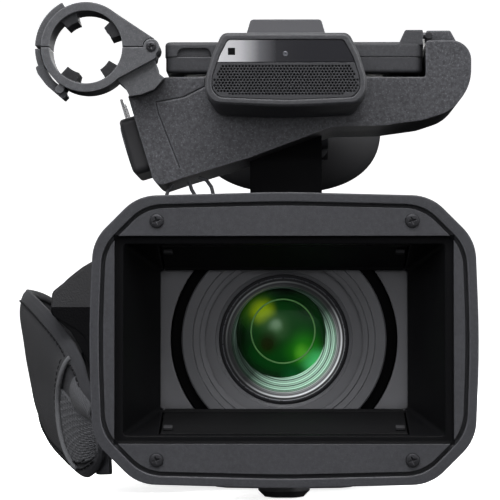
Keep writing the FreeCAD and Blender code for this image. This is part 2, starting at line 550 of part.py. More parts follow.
h1 = hook([(-45.0, 126.6), (-47.2, 123.6), (-48.0, 120.4)])
h2 = hook([(-38.5, 128.0), (-37.4, 124.5), (-35.2, 120.8), (-33.0, 119.4)])
h3 = hook([(-34.5, 129.6), (-31.4, 128.4), (-29.4, 125.6), (-28.6, 122.4), (-25.2, 119.2)])
hf = fuse(hf, h1, h2, h3)

# hinge block knuckles of the panel hinge
HX, HZ, TY = 58.8, 187.4, -85.0
hf = fuse(hf, prism_y([(57.4, 183.0), (57.4, 188.6), (58.4, 189.7), (67.8, 189.7), (71.4, 183.0)], [0.3, 0.6, 0.6, 1.2, 0.3], -82.7, -68.0))
hf = hf.cut(cyl_y(0.9, -84.0, -76.0, HX, HZ))
# wall that closes the slot behind the panel's hinge side
hf = hf.fuse(box(50.0, 62.0, HF_Y1 - 1.0, -30.0, 160.0, 169.0)).fuse(box(50.0, 62.0, -31.6, -30.0, 160.0, 184.0)).removeSplitter()
out("handle_front_housing", hf)

arm = fuse(cyl(1.35, (51.9, TY, HZ), (1, 0, 0), HX - 51.9), cyl_y(1.4, -86.4, -83.1, HX, HZ), cyl_y(0.85, -83.2, -76.4, HX, HZ),
           cyl(1.0, (48.9, TY, HZ), (1, 0, 0), 4.0))
out("lcd_hinge_arm", arm)

LX0, LX1, LY0, LY1 = -48.1, 56.4, -92.0, -34.8
lid = rbox_z(LX0, LX1, LY0, LY1, 178.2, 184.3, 3.0)
lid = soften(lid, 1.6, on_plane("z", 184.3))
lid = fuse(lid, prism_y([(46.2, 183.0), (49.0, 189.0), (56.2, 189.0), (56.2, 183.0)], [0.3, 1.2, 0.6, 0.3], LY0 + 0.1, -87.0))
lug = cyl(1.7, (49.0, TY, HZ), (1, 0, 0), 2.6).fuse(box(49.0, 51.6, TY - 1.7, TY + 1.7, 183.0, HZ - 0.2))
lid = lid.fuse(lug).removeSplitter()
lid = lid.cut(cyl(1.05, (48.7, TY, HZ), (1, 0, 0), 5.0))
# finger notch at the free end
lid = lid.cut(prism_y([(-43.2, 176.0), (-43.2, 181.7), (-29.4, 181.7), (-29.4, 176.0)], [0.5, 3.4, 3.4, 0.5], LY0 - 1.0, LY0 + 1.5))
out("lcd_lid", lid)
bez = rbox_z(LX0 + 0.3, LX1 - 0.3, LY0 + 0.3, LY1 - 0.3, 171.6, 178.1, 3.0)
bez = soften(bez, 1.4, on_plane("z", 171.6))
bez = bez.cut(box(-40.5, 40.5, -86.5, -41.5, 171.0, 173.0))
out("lcd_bezel", bez)
out("lcd_screen", box(-40.4, 40.4, -86.4, -41.6, 171.9, 172.9))

# handle: one casting with a front post, the bar and a rear post
hb = rbox_y(-14.2, 15.6, -29.5, 96.0, 146.0, 176.0, 8.0)
front_post = prism_x([(-72.0, BODY_Z1 + 0.05), (-72.0, 138.0), (-66.0, 149.6), (-34.0, 149.6), (-34.0, 146.0), (-30, 136.0), (-34.0, BODY_Z1 + 0.05)],
                     [1, 6, 1, 1, 4, 6, 1], -13.9, 15.6)
front_post = front_post.cut(prism_y(HF, HF_R, HF_Y0, HF_Y1))
rear_post = prism_x([(66.0, BODY_Z1 + 0.05), (60.0, 147.0), (96.0, 147.0), (100.0, BODY_Z1 + 0.05)], [1, 8, 1, 1], -14.2, 15.6)
bridge = rbox_x(-14.0, 15.4, -34.4, -26.0, 136.0, 168.0, 4.0)
hb = fuse(hb, front_post, rear_post, bridge)
hb = hb.cut(rbox_z(-6.4, 7.8, -21.6, 11.6, 172.2, 178.0, 4.0)).cut(cyl(1.05, (-5.9, -5.0, 171.0), (1, 0, 0), 13.2)).cut(box(-2.0, 3.4, -7.6, -2.4, 168.6, 173.0))
hb = hb.cut(cyl(4.7, (0.7, 20.0, 172.0), (0, 0, 1), 8)).cut(cyl(2.2, (0.7, 20.0, 167.0), (0, 0, 1), 8))
hzr = rbox_z(-5.9, 7.3, -21.0, 11.0, 174.0, 177.6, 4.0).cut(cyl(50.0, (-20, -5.0, 226.2), (1, 0, 0), 40))
hzr = fuse(hzr, box(-1.6, 3.0, -7.0, -3.0, 170.6, 175.0), cyl(0.98, (-5.5, -5.0, 171.0), (1, 0, 0), 12.4))
out("handle_zoom_rocker", hzr)
hrb = fuse(cyl(4.4, (0.7, 20.0, 173.2), (0, 0, 1), 4.2), cyl(2.05, (0.7, 20.0, 169.0), (0, 0, 1), 4.3))
out("handle_record_button", soften(hrb, 0.8, on_plane("z", 177.4)))

# ---- microphone unit ------------------------------------------------------------------------
MIC = [(-24.2, 184.0), (25.4, 184.0), (29.4, 176.0), (32.5, 165.8), (32.5, 160.2), (29.5, 156.2), (0.8, 154.8), (-27.9, 156.2),
       (-30.9, 160.2), (-30.9, 165.8), (-27.8, 176.0)]
MIC_R = [3.5, 3.5, 18, 14, 6, 5, 200, 5, 6, 14, 18]
MIC_Y = -128.0


def mic_sec(y, d, drop=0.0):
    cx, cz = 0.8, 169.5
    pts = []
    for x, z in MIC:
        zz = cz + (z - cz) * (1 - d / 14.5)
        pts.append((cx + (x - cx) * (1 - d / 31.5), zz - (drop * min(1.0, (163.0 - z) / 6.0) if z < 163.0 else 0.0)))
    return (y, pts, [max(0.8, r - d * 0.6) for r in MIC_R])


mic = loft_y([mic_sec(MIC_Y, 0.9), mic_sec(MIC_Y + 1.2, 0.0), mic_sec(-112.0, 0.3, 1.2), mic_sec(-97.0, 1.6, 3.6)])
mic = mic.fuse(rbox_y(-20.0, 21.6, -98.0, HF_Y0 - 0.05, 160.5, 168.8, 2.0)).removeSplitter()
recess = loft_y([mic_sec(MIC_Y - 1, 2.6), mic_sec(MIC_Y + 1.6, 2.6)])
mic = mic.cut(recess)
cavity = loft_y([mic_sec(MIC_Y + 1.5, 4.6), mic_sec(-108.0, 4.6)])
mic = mic.cut(cavity)
caps = [cyl_y(4.8, -121.0, -110.0, x, 165.0) for x in (-19.0, 20.6)]
posts = [box(x - 1, x + 1, -112, -107.5, 164, 166) for x in (-19.0, 20.6)]
mic = mic.fuse(caps[0]).fuse(caps[1]).fuse(posts[0]).fuse(posts[1]).removeSplitter()
out("mic_housing", mic)
face = loft_y([mic_sec(MIC_Y + 0.3, 2.9), mic_sec(MIC_Y + 1.5, 2.9)])
out("mic_grille", face.common(box(-60, 60, -140, -110, 150, 172.2)))
panel = face.common(box(-60, 60, -140, -110, 172.5, 200)).cut(cyl_y(0.8, -140, -110, 0.6, 175.6))
panel = panel.cut(rbox_y(-21.9, -19.1, -129, -127.2, 175.2, 178.0, 0.2))
out("mic_face_panel", panel)

# accessory shoe behind the microphone: closed in front, open to the rear
shoe = prism_y([(-15.4, 183.4), (-13.2, 191.0), (14.8, 191.0), (17.0, 183.4)], [0.4, 1.6, 1.6, 0.4], -112.0, -94.0)
shoe = shoe.cut(box(-8.6, 10.2, -109.5, -90.0, 186.6, 188.9)).cut(box(-5.6, 7.2, -109.5, -90.0, 188.8, 195.0))
shoe = shoe.cut(mic)
shoe = max(shoe.Solids, key=lambda s: s.Volume)
out("accessory_shoe", shoe)

# ---- microphone clamp ------------------------------------------------------------------------
CX, CZ = MIC_C
PX, PZ = -53.0, 180.8


def sector(r0, r1, a0, a1, y0, y1, n=None):
    """Part of a ring between two angles in the XZ plane, about the clamp's centre."""
    s = ring_y(r1, r0, y0, y1, CX, CZ)
    pts = [V(CX, y0, CZ)]
    steps = max(2, int((a1 - a0) / 30) + 1)
    for i in range(steps + 1):
        a = math.radians(a0 + (a1 - a0) * i / steps)
        pts.append(V(CX + 60 * math.cos(a), y0, CZ + 60 * math.sin(a)))
    w = Part.makePolygon(pts + [pts[0]])
    return s.common(Part.Face(w).extrude(V(0, y1 - y0, 0)))


my0, my1 = MIC_Y0, MIC_Y1
ymid0, ymid1 = my0 + 6.5, my1 - 6.5
full = ring_y(MIC_R_OUT, MIC_R_IN, my0, my1, CX, CZ)
up_fl = prism_y([(CX + 8.6, CZ + 15.8), (PX + 1.4, PZ + 3.1), (PX + 2.6, PZ + 0.2), (CX + MIC_R_IN - 0.6, PZ + 0.2)], [0.2, 1.5, 0.2, 0.2], my0, my1)
upper = full.common(box(CX - 30, PX + 10, my0 - 1, my1 + 1, CZ + 0.2, CZ + 40)).fuse(up_fl)
upper = upper.cut(cyl_y(MIC_R_IN, my0 - 1, my1 + 1, CX, CZ))
# catch for the latch, on the upper half's outside
upper = upper.fuse(sector(MIC_R_OUT - 0.2, MIC_R_OUT + 2.6, 118, 177.5, my0 + 3, my1 - 3))
upper = upper.cut(cyl_y(3.5, my0 - 1, ymid0, PX, PZ)).cut(cyl_y(3.5, ymid1, my1 + 1, PX, PZ))
upper = upper.fuse(cyl_y(3.2, ymid0 + 0.2, ymid1 - 0.2, PX, PZ)).removeSplitter()
upper = upper.cut(cyl_y(1.56, my0 - 1, my1 + 1, PX, PZ))
upper = max(upper.Solids, key=lambda s: s.Volume)
pads = {}
for a in (120, 33, -44, 241):
    r_pad = MIC_BORE_R
    p = sector(r_pad, MIC_R_IN, a - 14, a + 14, my0 + 1.5, my1 - 1.5)
    pads[a] = max(p.Solids, key=lambda s: s.Volume)
out("mic_clamp_upper", upper, pads[120], pads[33])
lo_fl = prism_y([(CX + MIC_R_IN - 0.6, PZ - 0.2), (PX + 2.4, PZ - 0.2), (PX + 1.6, PZ - 4.6), (CX + 4.0, CZ - 17.4), (CX + 3.0, CZ - 15.5)],
                [0.2, 0.2, 1.0, 0.4, 0.2], my0, my1)
lower = full.common(box(CX - 30, PX + 10, my0 - 1, my1 + 1, CZ - 40, CZ - 0.2)).fuse(lo_fl)
lower = lower.cut(cyl_y(MIC_R_IN, my0 - 1, my1 + 1, CX, CZ))
bracket = prism_y([(-66.8, 167.6), (-59.9, 172.6), (-52.3, 177.0), (-50.9, 173.4), (-50.3, 170.6), (-47.8, 168.6), (-52.0, 164.0), (-57.0, 162.0), (-61.8, 161.2), (-63.6, 164.7)],
                  [0.3, 0.3, 0.3, 2, 3, 0.5, 0.5, 0.5, 0.8, 2.5], my0 + 3.0, -87.0)
bracket = bracket.cut(prism_y(HF, HF_R, HF_Y0 - 0.02, HF_Y1)).cut(box(-70, -40, HF_Y0 + 0.0, -80.0, 150, 162.4))
bracket = max(bracket.Solids, key=lambda s_: s_.Volume)
bracket = bracket.cut(cyl_y(MIC_R_OUT - 0.5, my0 - 1, my1 + 1, CX, CZ))
lower = lower.fuse(max(bracket.Solids, key=lambda s_: s_.Volume))
lower = lower.cut(cyl_y(3.5, ymid0, ymid1, PX, PZ))
lower = lower.fuse(cyl_y(3.2, my0, ymid0 - 0.2, PX, PZ)).fuse(cyl_y(3.2, ymid1 + 0.2, my1, PX, PZ)).removeSplitter()
lower = lower.cut(box(PX - 4, PX + 4, my0 - 1, ymid0 - 0.2, PZ - 0.1, PZ + 3.6).cut(cyl_y(3.25, my0 - 2, my1, PX, PZ)))
lower = lower.fuse(cyl_y(1.5, my0, my1, PX, PZ)).removeSplitter()
# latch pivot ears
LA = math.radians(238)
LPX, LPZ = CX + 19.9 * math.cos(LA), CZ + 19.9 * math.sin(LA)
latch_ear = cyl_y(1.7, my0 + 1.0, my0 + 3.6, LPX, LPZ).fuse(cyl_y(1.7, my1 - 3.6, my1 - 1.0, LPX, LPZ)).fuse(cyl_y(0.9, my0 + 1.0, my1 - 1.0, LPX, LPZ))
ear_web = sector(MIC_R_OUT - 0.3, 19.9, 234, 242, my0 + 1.0, my0 + 3.6).fuse(sector(MIC_R_OUT - 0.3, 19.9, 234, 242, my1 - 3.6, my1 - 1.0))
lower = lower.cut(cyl_y(2.6, my0 + 3.7, my1 - 3.7, LPX, LPZ))
lower = lower.fuse(ear_web).fuse(latch_ear).removeSplitter()
lower = max(lower.Solids, key=lambda s: s.Volume)
out("mic_clamp_lower", lower, pads[-44], pads[241])
latch = sector(MIC_R_OUT + 0.5, MIC_R_OUT + 2.7, 181, 238, my0 + 4.0, my1 - 4.0)
latch = latch.fuse(cyl_y(1.8, my0 + 4.0, my1 - 4.0, LPX, LPZ))
tail = prism_y([(-99.8, 173.4), (-98.8, 170.4), (-95.8, 166.4), (-88.6, 160.2), (-87.0, 161.8), (-88.6, 164.6), (-92.8, 167.6), (-96.8, 173.8)],
               [0.8, 1.5, 2, 0.4, 0.6, 1, 3, 0.8], my0 + 4.0, my1 - 4.0)
latch = latch.fuse(tail).removeSplitter()
latch = latch.cut(cyl_y(0.96, my0, my1, LPX, LPZ)).cut(cyl_y(MIC_R_OUT + 0.3, my0, my1, CX, CZ))
out("mic_clamp_latch", max(latch.Solids, key=lambda s: s.Volume))

# ---- viewfinder --------------------------------------------------------------------------------
EY, EZ = EVF_PIVOT
ear = cyl(8.6, (-8.4, EY, EZ), (1, 0, 0), 18.2).fuse(box(-8.4, 9.8, EY - 6, EY, EZ - 8.6, EZ + 8.6))
hb = hb.cut(box(-20, 20, EY - 9.4, 120, 100, 200).common(box(-20, -8.4, 80, 120, 130, 200).fuse(box(9.8, 30, 80, 120, 130, 200)).fuse(box(-20, 30, 97.9, 120, 130, 200))))
hb = hb.cut(box(-30, 30, 88.5, 120, 171.8, 200)).fuse(ear)
hb = hb.fuse(cyl(2.6, (-15.0, EY, EZ), (1, 0, 0), 31.4)).removeSplitter()
out("handle_frame", max(hb.Solids, key=lambda s: s.Volume))
vf = rbox_y(-19.0, 21.0, EY + 9.6, 150.0, 150.0, 186.0, 5.0)
snout = loft_y([(149.9, rect(-16.0, 20.0, 153.0, 186.0), 6), (168.0, rect(-13.0, 17.4, 156.0, 184.6), 9)])
arms = fuse(cyl(8.6, (-19.0, EY, EZ), (1, 0, 0), 10.2), box(-19.0, -8.8, EY, EY + 10.0, EZ - 8.6, EZ + 8.6),
            ).fuse(cyl(8.6, (10.2, EY, EZ), (1, 0, 0), 10.8)).fuse(box(10.2, 21.0, EY, EY + 10.0, EZ - 8.6, EZ + 8.6))
vf = vf.fuse(snout).fuse(arms).removeSplitter()
vf = vf.cut(cyl(2.66, (-30, EY, EZ), (1, 0, 0), 60)).cut(cyl_y(10.6, 158.0, 175.0, 2.2, 170.3))
out("viewfinder_body", soften(vf, 1.2, on_plane("y", 150.0)))
out("viewfinder_lens", element(10.4, 0, 1.2, 5.0, 0).translated(V(2.2, 159.0, 170.3 - AXIS_Z)))
E_OUT = [(-45.0, 152.0), (-40.0, 141.0), (-26.0, 136.9), (18.0, 136.9), (38.0, 144.0), (50.0, 162.0), (50.0, 182.0), (36.0, 197.0),
         (0.0, 204.0), (-30.0, 200.0), (-44.0, 184.0)]
E_R = [14, 12, 20, 30, 24, 26, 24, 30, 60, 26, 24]


def e_sec(y, k, inset=0.0):
    cx, cz = 2.2, 170.3
    pts = []
    for x, z in E_OUT:
        dx, dz = x - cx, z - cz
        l = math.hypot(dx, dz)
        small = 15.0
        r = small + (l - small) * k - inset
        pts.append((cx + dx / l * r, cz + dz / l * r))
    return (y, pts, [max(1.0, r * (0.25 + 0.75 * k)) for r in E_R])


cup = loft_y([e_sec(164.5, 0.12), e_sec(172.0, 0.30), e_sec(190.0, 1.0)]).cut(
    loft_y([e_sec(164.0, 0.06, 1.4), e_sec(172.0, 0.26, 1.4), e_sec(191.0, 1.02, 1.6)]))
cup = cup.cut(vf)
out("eyecup", max(cup.Solids, key=lambda s: s.Volume))

# ---- battery -------------------------------------------------------------------------------------
bat = rbox_y(-17.2, 21.2, BODY_Y1 + 0.3, 165.0, 22.0, 92.5, 4.0)
bat = soften(bat, 2.0, on_plane("y", 165.0))
bat = bat.cut(rbox_y(-3.0, 7.0, 164.0, 167.0, 78.0, 81.0, 1.0))
out("battery", bat)

# ---- controls on the +X flank --------------------------------------------------------------------
KN = [(50.0, 86.0), (65.0, 86.0)]
MD = (58.0, 56.0)
BT = [(8.0, 33.0), (24.0, 33.0)]
ND = (-12.0, 78.0)
panel = rbox_x(BODY_X1 - 1.3, BODY_X1 + 0.6, PANEL[0] + 0.3, PANEL[1] - 0.3, PANEL[2] + 0.3, PANEL[3] - 0.3, 3.7)
left2 = NODES["body_casing_left"]
for y, z in KN:
    panel = panel.cut(cyl(4.9, (40, y, z), (1, 0, 0), 20))
    left2 = left2.cut(cyl(2.3, (40, y, z), (1, 0, 0), 20))
panel = panel.cut(cyl(9.5, (40, MD[0], MD[1]), (1, 0, 0), 20))
left2 = left2.cut(cyl(2.3, (40, MD[0], MD[1]), (1, 0, 0), 20))
for y, z in BT:
    panel = panel.cut(cyl(3.7, (40, y, z), (1, 0, 0), 20))
    left2 = left2.cut(cyl(1.8, (40, y, z), (1, 0, 0), 20))
panel = panel.cut(rbox_x(40, 60, ND[0] - 2.2, ND[0] + 2.2, ND[1] - 11, ND[1] + 11, 2.1))
left2 = left2.cut(box(40, 60, ND[0] - 1.5, ND[0] + 1.5, ND[1] - 9, ND[1] + 9))
# card door opening: two card slots behind it, and the hinge lugs
DHX, DHY = BODY_X1 + 0.2, DOOR[1] - 1.0
left2 = left2.fuse(rbox_x(BODY_X1 - 4.2, BODY_X1 - 1.9, DOOR[0] + 0.1, DOOR[1] - 0.1, DOOR[2] + 0.1, DOOR[3] - 0.1, 2.5))
left2 = left2.cut(box(40, 60, DOOR[0] + 9, DOOR[0] + 12, DOOR[2] + 8, DOOR[3] - 30)).cut(box(40, 60, DOOR[0] + 19, DOOR[0] + 22, DOOR[2] + 8, DOOR[3] - 30))
left2 = left2.cut(cyl(1.45, (DHX, DHY, DOOR[2] + 0.2), (0, 0, 1), DOOR[3] - DOOR[2] - 0.4))
left2 = left2.fuse(cyl(1.1, (DHX, DHY, DOOR[2] - 3.5), (0, 0, 1), 3.7)).fuse(cyl(1.1, (DHX, DHY, DOOR[3] - 0.2), (0, 0, 1), 3.7))
left2 = left2.cut(cyl(0.62, (DHX, DHY, DOOR[2] - 2.5), (0, 0, 1), 3.5)).cut(cyl(0.62, (DHX, DHY, DOOR[3] - 1.0), (0, 0, 1), 3.5))
left2 = left2.removeSplitter()
out("body_casing_left", max(left2.Solids, key=lambda s: s.Volume))
door = rbox_x(BODY_X1 - 1.6, BODY_X1 + 0.3, DOOR[0] + 0.4, DOOR[1] - 1.6, DOOR[2] + 0.5, DOOR[3] - 0.5, 2.4)
door = door.fuse(cyl(1.1, (DHX, DHY, DOOR[2] + 0.5), (0, 0, 1), DOOR[3] - DOOR[2] - 1.0)).fuse(
    cyl(0.56, (DHX, DHY, DOOR[2] - 2.0), (0, 0, 1), DOOR[3] - DOOR[2] + 4.0)).removeSplitter()
door = door.cut(rbox_x(BODY_X1 - 0.3, BODY_X1 + 1, DOOR[0] + 2.0, DOOR[0] + 4.2, 58.0, 72.0, 1.0))
out("card_door", door)
out("control_panel", panel)
for (y, z), name in zip(KN, ("audio_knob_front", "audio_knob_rear")):
    k_ = fuse(cyl(4.5, (BODY_X1 - 1.2, y, z), (1, 0, 0), 4.6), cyl(2.2, (BODY_X1 - 4.5, y, z), (1, 0, 0), 4.0))
    k_ = bevel(k_, 0.5, on_plane("x", BODY_X1 + 3.4)).cut(box(BODY_X1 + 2.8, BODY_X1 + 4, y - 0.4, y + 0.4, z + 0.8, z + 5))
    out(name, k_)
md = fuse(ring_y(9.1, 5.0, 0, 4.6, 0, 0), cyl_y(5.2, 0, 3.6, 0, 0), cyl_y(2.2, -3.2, 0.1, 0, 0))
md.rotate(V(0, 0, 0), V(0, 0, 1), -90)
md.translate(V(BODY_X1 - 1.2, MD[0], MD[1]))
out("menu_dial", bevel(md, 0.5, on_plane("x", BODY_X1 + 3.4)))
for (y, z), name in zip(BT, ("assign_button_1", "assign_button_2")):
    b_ = fuse(cyl(3.4, (BODY_X1 - 0.2, y, z), (1, 0, 0), 2.2), cyl(1.7, (BODY_X1 - 4.4, y, z), (1, 0, 0), 4.3))
    out(name, soften(b_, 0.5, on_plane("x", BODY_X1 + 2.0)))
nd = fuse(rbox_x(BODY_X1 - 1.2, BODY_X1 + 0.4, ND[0] - 1.9, ND[0] + 1.9, ND[1] - 3.6, ND[1] + 3.6, 1.8),
          rbox_x(BODY_X1 + 0.3, BODY_X1 + 3.6, ND[0] - 1.4, ND[0] + 1.4, ND[1] - 2.4, ND[1] + 2.4, 1.2),
          box(BODY_X1 - 4.2, BODY_X1 - 1.1, ND[0] - 1.3, ND[0] + 1.3, ND[1] - 2.0, ND[1] + 2.0))
out("nd_filter_switch", nd)

print(len(NODES), "nodes")
lo = [min(s.BoundBox.XMin for s in NODES.values()), min(s.BoundBox.YMin for s in NODES.values()), min(s.BoundBox.ZMin for s in NODES.values())]
hi = [max(s.BoundBox.XMax for s in NODES.values()), max(s.BoundBox.YMax for s in NODES.values()), max(s.BoundBox.ZMax for s in NODES.values())]
print("box", [round(v, 1) for v in lo], [round(v, 1) for v in hi])
print("rocker axis", ROCKER_AXIS_POS, "slope", slope, "latch pivot", LPX, LPZ)
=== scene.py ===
import bpy
import bmesh
import json
import math
import random
from mathutils import Matrix, Vector


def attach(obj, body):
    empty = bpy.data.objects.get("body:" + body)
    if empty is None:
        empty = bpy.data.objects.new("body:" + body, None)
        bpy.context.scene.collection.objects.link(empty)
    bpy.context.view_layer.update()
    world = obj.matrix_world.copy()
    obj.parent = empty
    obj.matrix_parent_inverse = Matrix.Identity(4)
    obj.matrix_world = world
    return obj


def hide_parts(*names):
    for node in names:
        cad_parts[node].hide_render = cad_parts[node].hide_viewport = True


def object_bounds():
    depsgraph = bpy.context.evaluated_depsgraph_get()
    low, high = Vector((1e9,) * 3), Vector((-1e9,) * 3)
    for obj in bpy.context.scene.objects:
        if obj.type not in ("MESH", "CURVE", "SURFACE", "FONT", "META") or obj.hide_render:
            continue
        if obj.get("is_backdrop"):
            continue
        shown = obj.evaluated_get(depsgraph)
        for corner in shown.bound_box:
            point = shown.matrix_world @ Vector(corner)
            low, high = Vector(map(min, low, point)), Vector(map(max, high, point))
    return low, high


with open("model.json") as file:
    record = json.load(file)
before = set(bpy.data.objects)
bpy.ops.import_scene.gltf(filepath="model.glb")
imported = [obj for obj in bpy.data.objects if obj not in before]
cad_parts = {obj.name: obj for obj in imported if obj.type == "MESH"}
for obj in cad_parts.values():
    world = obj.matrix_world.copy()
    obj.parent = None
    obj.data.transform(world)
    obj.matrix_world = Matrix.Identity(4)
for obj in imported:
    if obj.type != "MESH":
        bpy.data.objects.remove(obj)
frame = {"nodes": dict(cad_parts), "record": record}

cad_lo, cad_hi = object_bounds()
NODES = frame["nodes"]
AZ = 0.064                     # lens axis height
random.seed(7)


# ---------------------------------------------------------------- node helpers
def node(t, kind, ins=None, **props):
    n = t.nodes.new("ShaderNode" + kind)
    for k, v in props.items():
        setattr(n, k, v)
    for k, v in (ins or {}).items():
        if isinstance(v, bpy.types.NodeSocket):
            t.links.new(v, n.inputs[k])
        else:
            n.inputs[k].default_value = v
    return n


def math_(t, op, a, b=0.5, clamp=False):
    n = node(t, "Math", {0: a, 1: b}, operation=op)
    n.use_clamp = clamp
    return n.outputs[0]


def ramp(t, fac, stops):
    n = node(t, "ValToRGB", {"Fac": fac})
    cr = n.color_ramp
    while len(cr.elements) < len(stops):
        cr.elements.new(0.5)
    for e, (p, c) in zip(cr.elements, stops):
        e.position = p
        e.color = c if len(c) == 4 else (*c, 1)
    return n.outputs[0]


def mix(t, fac, a, b):
    n = t.nodes.new("ShaderNodeMix")
    n.data_type = "RGBA"
    for i, v in ((0, fac), (6, a), (7, b)):
        if isinstance(v, bpy.types.NodeSocket):
            t.links.new(v, n.inputs[i])
        elif i == 0:
            n.inputs[0].default_value = v
        else:
            n.inputs[i].default_value = (*v, 1) if len(v) == 3 else v
    return n.outputs[2]


def material(name, rough=0.5, metallic=0.0, spec=0.5):
    m = bpy.data.materials.new(name)
    m.use_nodes = True
    t = m.node_tree
    t.nodes.clear()
    out = t.nodes.new("ShaderNodeOutputMaterial")
    b = t.nodes.new("ShaderNodeBsdfPrincipled")
    t.links.new(b.outputs[0], out.inputs[0])
    b.inputs["Roughness"].default_value = rough
    b.inputs["Metallic"].default_value = metallic
    b.inputs["Specular IOR Level"].default_value = spec
    return m, t, b


def coords(t):
    return node(t, "TexCoord").outputs["Object"]


def noise(t, co, scale, detail=2.0, rough=0.5):
    return node(t, "TexNoise", {"Vector": co, "Scale": scale, "Detail": detail, "Roughness": rough}).outputs["Fac"]


def edge_mask(t, radius, lo=0.995, hi=0.90):
    """1 on edges of the shape, 0 on its flats, and the rounded normal."""
    bv = node(t, "Bevel", {"Radius": radius}, samples=4)
    geo = node(t, "NewGeometry")
    d = node(t, "VectorMath", {0: bv.outputs[0], 1: geo.outputs["Normal"]}, operation="DOT_PRODUCT").outputs["Value"]
    f = node(t, "MapRange", {"Value": d, "From Min": lo, "From Max": hi, "To Min": 0.0, "To Max": 1.0}).outputs[0]
    return f, bv.outputs[0]


def plastic(name, base, rough=0.5, grain=0.00035, bump=0.06, speckle=0.0, speck_col=None, edge=0.3, radius=0.0004,
            pebble=0.0, spec=0.32, mottle=0.12, coarse=0.0, black=None, light=None, light_col=(0.085, 0.085, 0.092)):
    """Moulded plastic: spark-eroded grain, fine light specks, slow mottling, rubbed edges that are also lightened as a
    painted highlight, and painted shade in its crevices.
    """
    m, t, b = material(name, rough, 0.0, spec)
    co = coords(t)
    fine = noise(t, co, 1.0 / grain, 3.0, 0.6)
    slow = noise(t, co, 22.0, 3.0, 0.5)
    col = mix(t, math_(t, "MULTIPLY", slow, 1.0), tuple(c * (1 - mottle) for c in base), tuple(c * (1 + mottle) for c in base))
    if coarse:
        lump = ramp(t, noise(t, co, 750.0, 2.0, 0.6), [(0.32, (0, 0, 0)), (0.68, (1, 1, 1))])
        col = mix(t, math_(t, "MULTIPLY", lump, 1.0), mix(t, coarse, col, tuple(c * 0.35 for c in base)), mix(t, coarse, col, tuple(c * 1.9 for c in base)))
    if speckle:
        sp = noise(t, co, 1.0 / (grain * 1.5), 1.0, 0.4)
        msk = ramp(t, sp, [(0.60, (0, 0, 0)), (0.74, (1, 1, 1))])
        col = mix(t, math_(t, "MULTIPLY", msk, speckle), col, speck_col or tuple(min(1, c * 2.6 + 0.02) for c in base))
        dk = ramp(t, sp, [(0.28, (1, 1, 1)), (0.40, (0, 0, 0))])
        col = mix(t, math_(t, "MULTIPLY", dk, speckle * 0.8), col, tuple(c * 0.45 for c in base))
    f, nrm = edge_mask(t, radius)
    brk = noise(t, co, 260.0, 3.0, 0.7)
    # Rubbed edges, partly real rubbing and partly a painted highlight: the edge mask lightens the colour where the
    # rounded edges catch the light.
    edge_wear_and_highlight = math_(t, "MULTIPLY", f, math_(t, "MULTIPLY", ramp(t, brk, [(0.30, (0.45, 0.45, 0.45)), (0.62, (1, 1, 1))]), edge))
    col = mix(t, edge_wear_and_highlight, col, tuple(min(1, c * 2.4 + 0.02) for c in base))
    if light:
        col = mix(t, light(t, co), col, light_col)
    # Painted shade: an occlusion mask darkens the colour in crevices and between parts.
    occ = node(t, "AmbientOcclusion", {"Distance": 0.005}, samples=4).outputs["AO"]
    painted_crevice_shade = node(t, "MapRange", {"Value": occ, "From Min": 0.80, "From Max": 0.25, "To Min": 0.0, "To Max": 0.8}).outputs[0]
    col = mix(t, painted_crevice_shade, col, tuple(c * 0.15 for c in base))
    # Near-black mask: the clamp's own black rubber pads, and painted shade inside the hood, on the handle's front post
    # and on the grip's front.
    if black:
        msk = black(t, co)
        col = mix(t, msk, col, (0.0035, 0.0035, 0.004))
        t.links.new(node(t, "MapRange", {"Value": msk, "To Min": spec, "To Max": 0.06}).outputs[0], b.inputs["Specular IOR Level"])
    t.links.new(col, b.inputs["Base Color"])
    r = node(t, "MapRange", {"Value": slow, "From Min": 0.3, "From Max": 0.7, "To Min": rough - 0.05, "To Max": rough + 0.05}).outputs[0]
    r2 = math_(t, "SUBTRACT", r, math_(t, "MULTIPLY", edge_wear_and_highlight, 0.25), True)
    t.links.new(r2, b.inputs["Roughness"])
    h = fine
    if pebble:
        vor = node(t, "TexVoronoi", {"Vector": co, "Scale": 1.0 / pebble}, feature="SMOOTH_F1").outputs["Distance"]
        h = math_(t, "ADD", math_(t, "MULTIPLY", fine, 0.4), math_(t, "SUBTRACT", 1.0, vor))
    bp = node(t, "Bump", {"Height": h, "Distance": 0.00012, "Strength": min(1.0, bump * 6), "Normal": nrm})
    t.links.new(bp.outputs[0], b.inputs["Normal"])
    return m


def metal(name, base, rough=0.35, metallic=0.8, radius=0.0002, edge=0.4, grain=0.0004, bump=0.03, streak=None):
    m, t, b = material(name, rough, metallic)
    co = coords(t)
    slow = noise(t, co, 60.0, 3.0)
    col = mix(t, slow, tuple(c * 0.88 for c in base), tuple(c * 1.12 for c in base))
    f, nrm = edge_mask(t, radius)
    brk = noise(t, co, 500.0, 3.0, 0.7)
    # Edges partly rubbed and partly lightened as a painted highlight.
    edge_wear_and_highlight = math_(t, "MULTIPLY", f, math_(t, "MULTIPLY", brk, edge))
    col = mix(t, edge_wear_and_highlight, col, tuple(min(1, c * 2.2 + 0.05) for c in base))
    t.links.new(col, b.inputs["Base Color"])
    r = node(t, "MapRange", {"Value": noise(t, co, 900.0, 3.0), "From Min": 0.3, "From Max": 0.7, "To Min": rough - 0.06, "To Max": rough + 0.06}).outputs[0]
    t.links.new(r, b.inputs["Roughness"])
    h = noise(t, co, 1.0 / grain, 2.0)
    if streak:
        mp = node(t, "Mapping", {"Vector": co, "Scale": streak})
        h = noise(t, mp.outputs[0], 1.0, 3.0)
    bp = node(t, "Bump", {"Height": h, "Distance": 0.00008, "Strength": min(1.0, bump * 6), "Normal": nrm})
    t.links.new(bp.outputs[0], b.inputs["Normal"])
    return m


